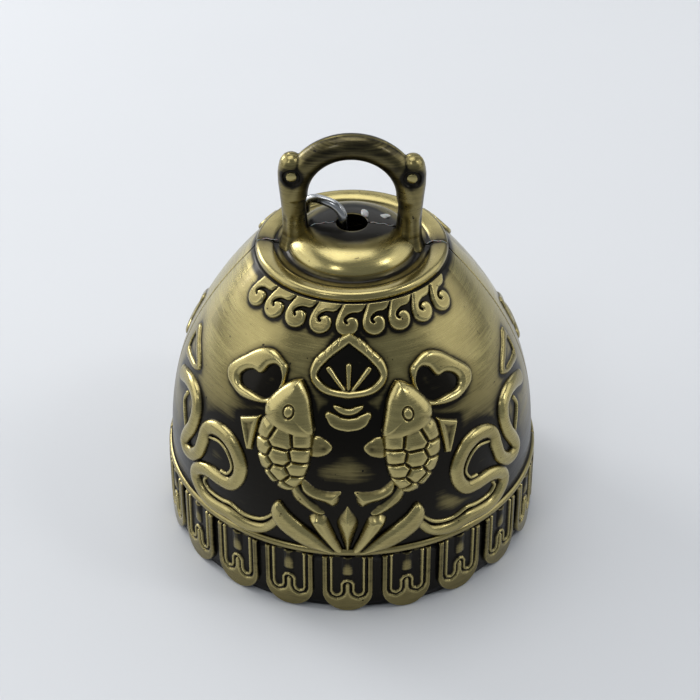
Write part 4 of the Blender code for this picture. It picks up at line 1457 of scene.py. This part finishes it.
class BELL_OT_glue(bpy.types.Operator):
    """Put the dried glue along the seam of the crown"""
    bl_idname = "bell.glue"
    bl_label = "Glue"

    def execute(self, context):
        body = context.scene.bell_body
        for name, ((x, y), half) in GLUE_DROPS.items():
            bm = bmesh.new()
            bmesh.ops.create_icosphere(bm, subdivisions=4, radius=1.0)
            z = cap_level(math.hypot(x, y) * MM)
            for vert in bm.verts:
                wave = 1 + 0.16 * math.sin(3 * vert.co.x + 2 * vert.co.y + x)
                vert.co = Vector((x + half[0] * vert.co.x * wave,
                                  y + half[1] * vert.co.y * wave,
                                  z / MM + half[2] * vert.co.z)) * MM
            self.settle(name, from_bmesh(name, bm))
        thread, flange_middle, flange_half = 0.055 * MM, 10.9, 1.6
        for name, (start, end) in GLUE_THREADS.items():
            route = []
            for x in np.linspace(start, end, 26):
                y = 0.16 * math.sin(5.0 * x) + 0.09 * math.sin(11.0 * x)
                if abs(x) * MM < body.cap_radius - CAP_INSET:
                    z = cap_level(abs(x) * MM)
                else:
                    share = (abs(x) - flange_middle) / flange_half
                    z = body.flange_height + FLANGE_ROLL * math.sqrt(max(0.0, 1 - share ** 2))
                route.append((x * MM, y * MM, z + 0.02 * MM * math.sin(9.0 * x)))
            self.settle(name, tube_mesh(name, route, thread, 8))
        return {'FINISHED'}

    @staticmethod
    def settle(name, mesh):
        """Add a piece of glue that rides with the castings."""
        made = bpy.data.objects.new(name, mesh)
        bpy.context.scene.collection.objects.link(made)
        mesh.materials.append(bpy.data.materials["dried glue"])
        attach(made, "shell")


# Soft boxes round the bell: name, place, width and height in metres, share of the light
LIGHTS = [("left_wall", (-0.45, 0.05, 0.25), 0.60, 0.42, 1.00),
          ("right_wall", (0.45, 0.05, 0.25), 0.45, 0.40, 0.60),
          ("back_wall", (0.0, 0.55, 0.36), 0.80, 0.34, 0.80),
          ("ceiling", (-0.05, 0.10, 0.50), 0.36, 0.30, 0.95),
          ("left_window", (-0.35, 0.28, 0.18), 0.16, 0.20, 0.80),
          ("front_window", (-0.20, -0.30, 0.44), 0.08, 0.10, 0.20),
          ("right_window", (0.34, -0.08, 0.41), 0.08, 0.10, 0.24)]
LIGHTS_AIM = Vector((0, 0, 0.025))
CAMERA_VIEW = Vector((-0.01815, 0.8000, -0.5997))
SKY_COLOUR = (0.86, 0.93, 1.0, 1.0)
TABLE_HALF = 1.5


class BELL_OT_stage(bpy.types.Operator):
    """Put up the table top, the lights and the camera"""
    bl_idname = "bell.stage"
    bl_label = "Stage"

    def execute(self, context):
        stage = context.scene.bell_stage
        bm = bmesh.new()
        bmesh.ops.create_grid(bm, x_segments=24, y_segments=24, size=TABLE_HALF)
        mesh = from_bmesh("table_top", bm)
        mesh.transform(Matrix.Translation((0, 0, CAD_BOX[0][2] - 0.02 * MM)))
        mesh.materials.append(bpy.data.materials["table top"])
        floor = bpy.data.objects.new("table_top", mesh)
        context.scene.collection.objects.link(floor)
        for name, place, wide, tall, power in LIGHTS:
            lamp = bpy.data.lights.new(name, 'AREA')
            lamp.shape, lamp.size, lamp.size_y = 'RECTANGLE', wide, tall
            lamp.energy = power * stage.key
            holder = bpy.data.objects.new(name, lamp)
            holder.location = place
            beam = LIGHTS_AIM - Vector(place)
            holder.rotation_euler = beam.to_track_quat('-Z', 'Y').to_euler()
            context.scene.collection.objects.link(holder)
        world = bpy.data.worlds.new("room")
        world.use_nodes = True
        back = world.node_tree.nodes["Background"]
        back.inputs["Color"].default_value = SKY_COLOUR
        back.inputs["Strength"].default_value = stage.sky
        context.scene.world = world
        context.scene.view_settings.view_transform = 'Standard'
        lens = bpy.data.cameras.new("camera")
        lens.lens, lens.sensor_width = stage.lens, 36.0
        lens.clip_start, lens.clip_end = 0.01, 10.0
        camera = bpy.data.objects.new("camera", lens)
        camera.location = stage.camera
        camera.rotation_euler = CAMERA_VIEW.to_track_quat('-Z', 'Y').to_euler()
        context.scene.collection.objects.link(camera)
        context.scene.camera = camera
        return {'FINISHED'}


OPERATORS = (BELL_OT_finishes, BELL_OT_castings, BELL_OT_relief, BELL_OT_handle,
             BELL_OT_wirework, BELL_OT_glue, BELL_OT_stage)
GROUPS = {"bell_body": BellBody, "bell_relief": BellRelief, "bell_handle": BellHandle,
          "bell_wire": BellWire, "bell_finish": BellFinish, "bell_stage": BellStage}


class BELL_PT_bell(bpy.types.Panel):
    """Sizes and pieces of the bell"""
    bl_idname = "BELL_PT_bell"
    bl_label = "Temple bell"
    bl_space_type = 'VIEW_3D'
    bl_region_type = 'UI'
    bl_category = "Bell"

    def draw(self, context):
        for label in GROUPS:
            box = self.layout.box()
            group = getattr(context.scene, label)
            for key in group.bl_rna.properties.keys():
                if key not in {"rna_type", "name"}:
                    box.prop(group, key)
        for operator in OPERATORS:
            self.layout.operator(operator.bl_idname)


def register():
    """Register the classes and hang the settings on the scene."""
    for each in (*GROUPS.values(), *OPERATORS, BELL_PT_bell):
        bpy.utils.register_class(each)
    for label, kind in GROUPS.items():
        setattr(bpy.types.Scene, label, bpy.props.PointerProperty(type=kind))


def unregister():
    """Take the settings and the classes away again."""
    for label in GROUPS:
        delattr(bpy.types.Scene, label)
    for each in (BELL_PT_bell, *reversed(OPERATORS), *reversed(GROUPS.values())):
        bpy.utils.unregister_class(each)


def main():
    """Make the whole scene."""
    register()
    bpy.ops.bell.finishes()
    bpy.ops.bell.castings()
    bpy.ops.bell.relief()
    bpy.ops.bell.handle()
    bpy.ops.bell.wirework()
    bpy.ops.bell.glue()
    bpy.ops.bell.stage()


if __name__ == "__main__":
    main()
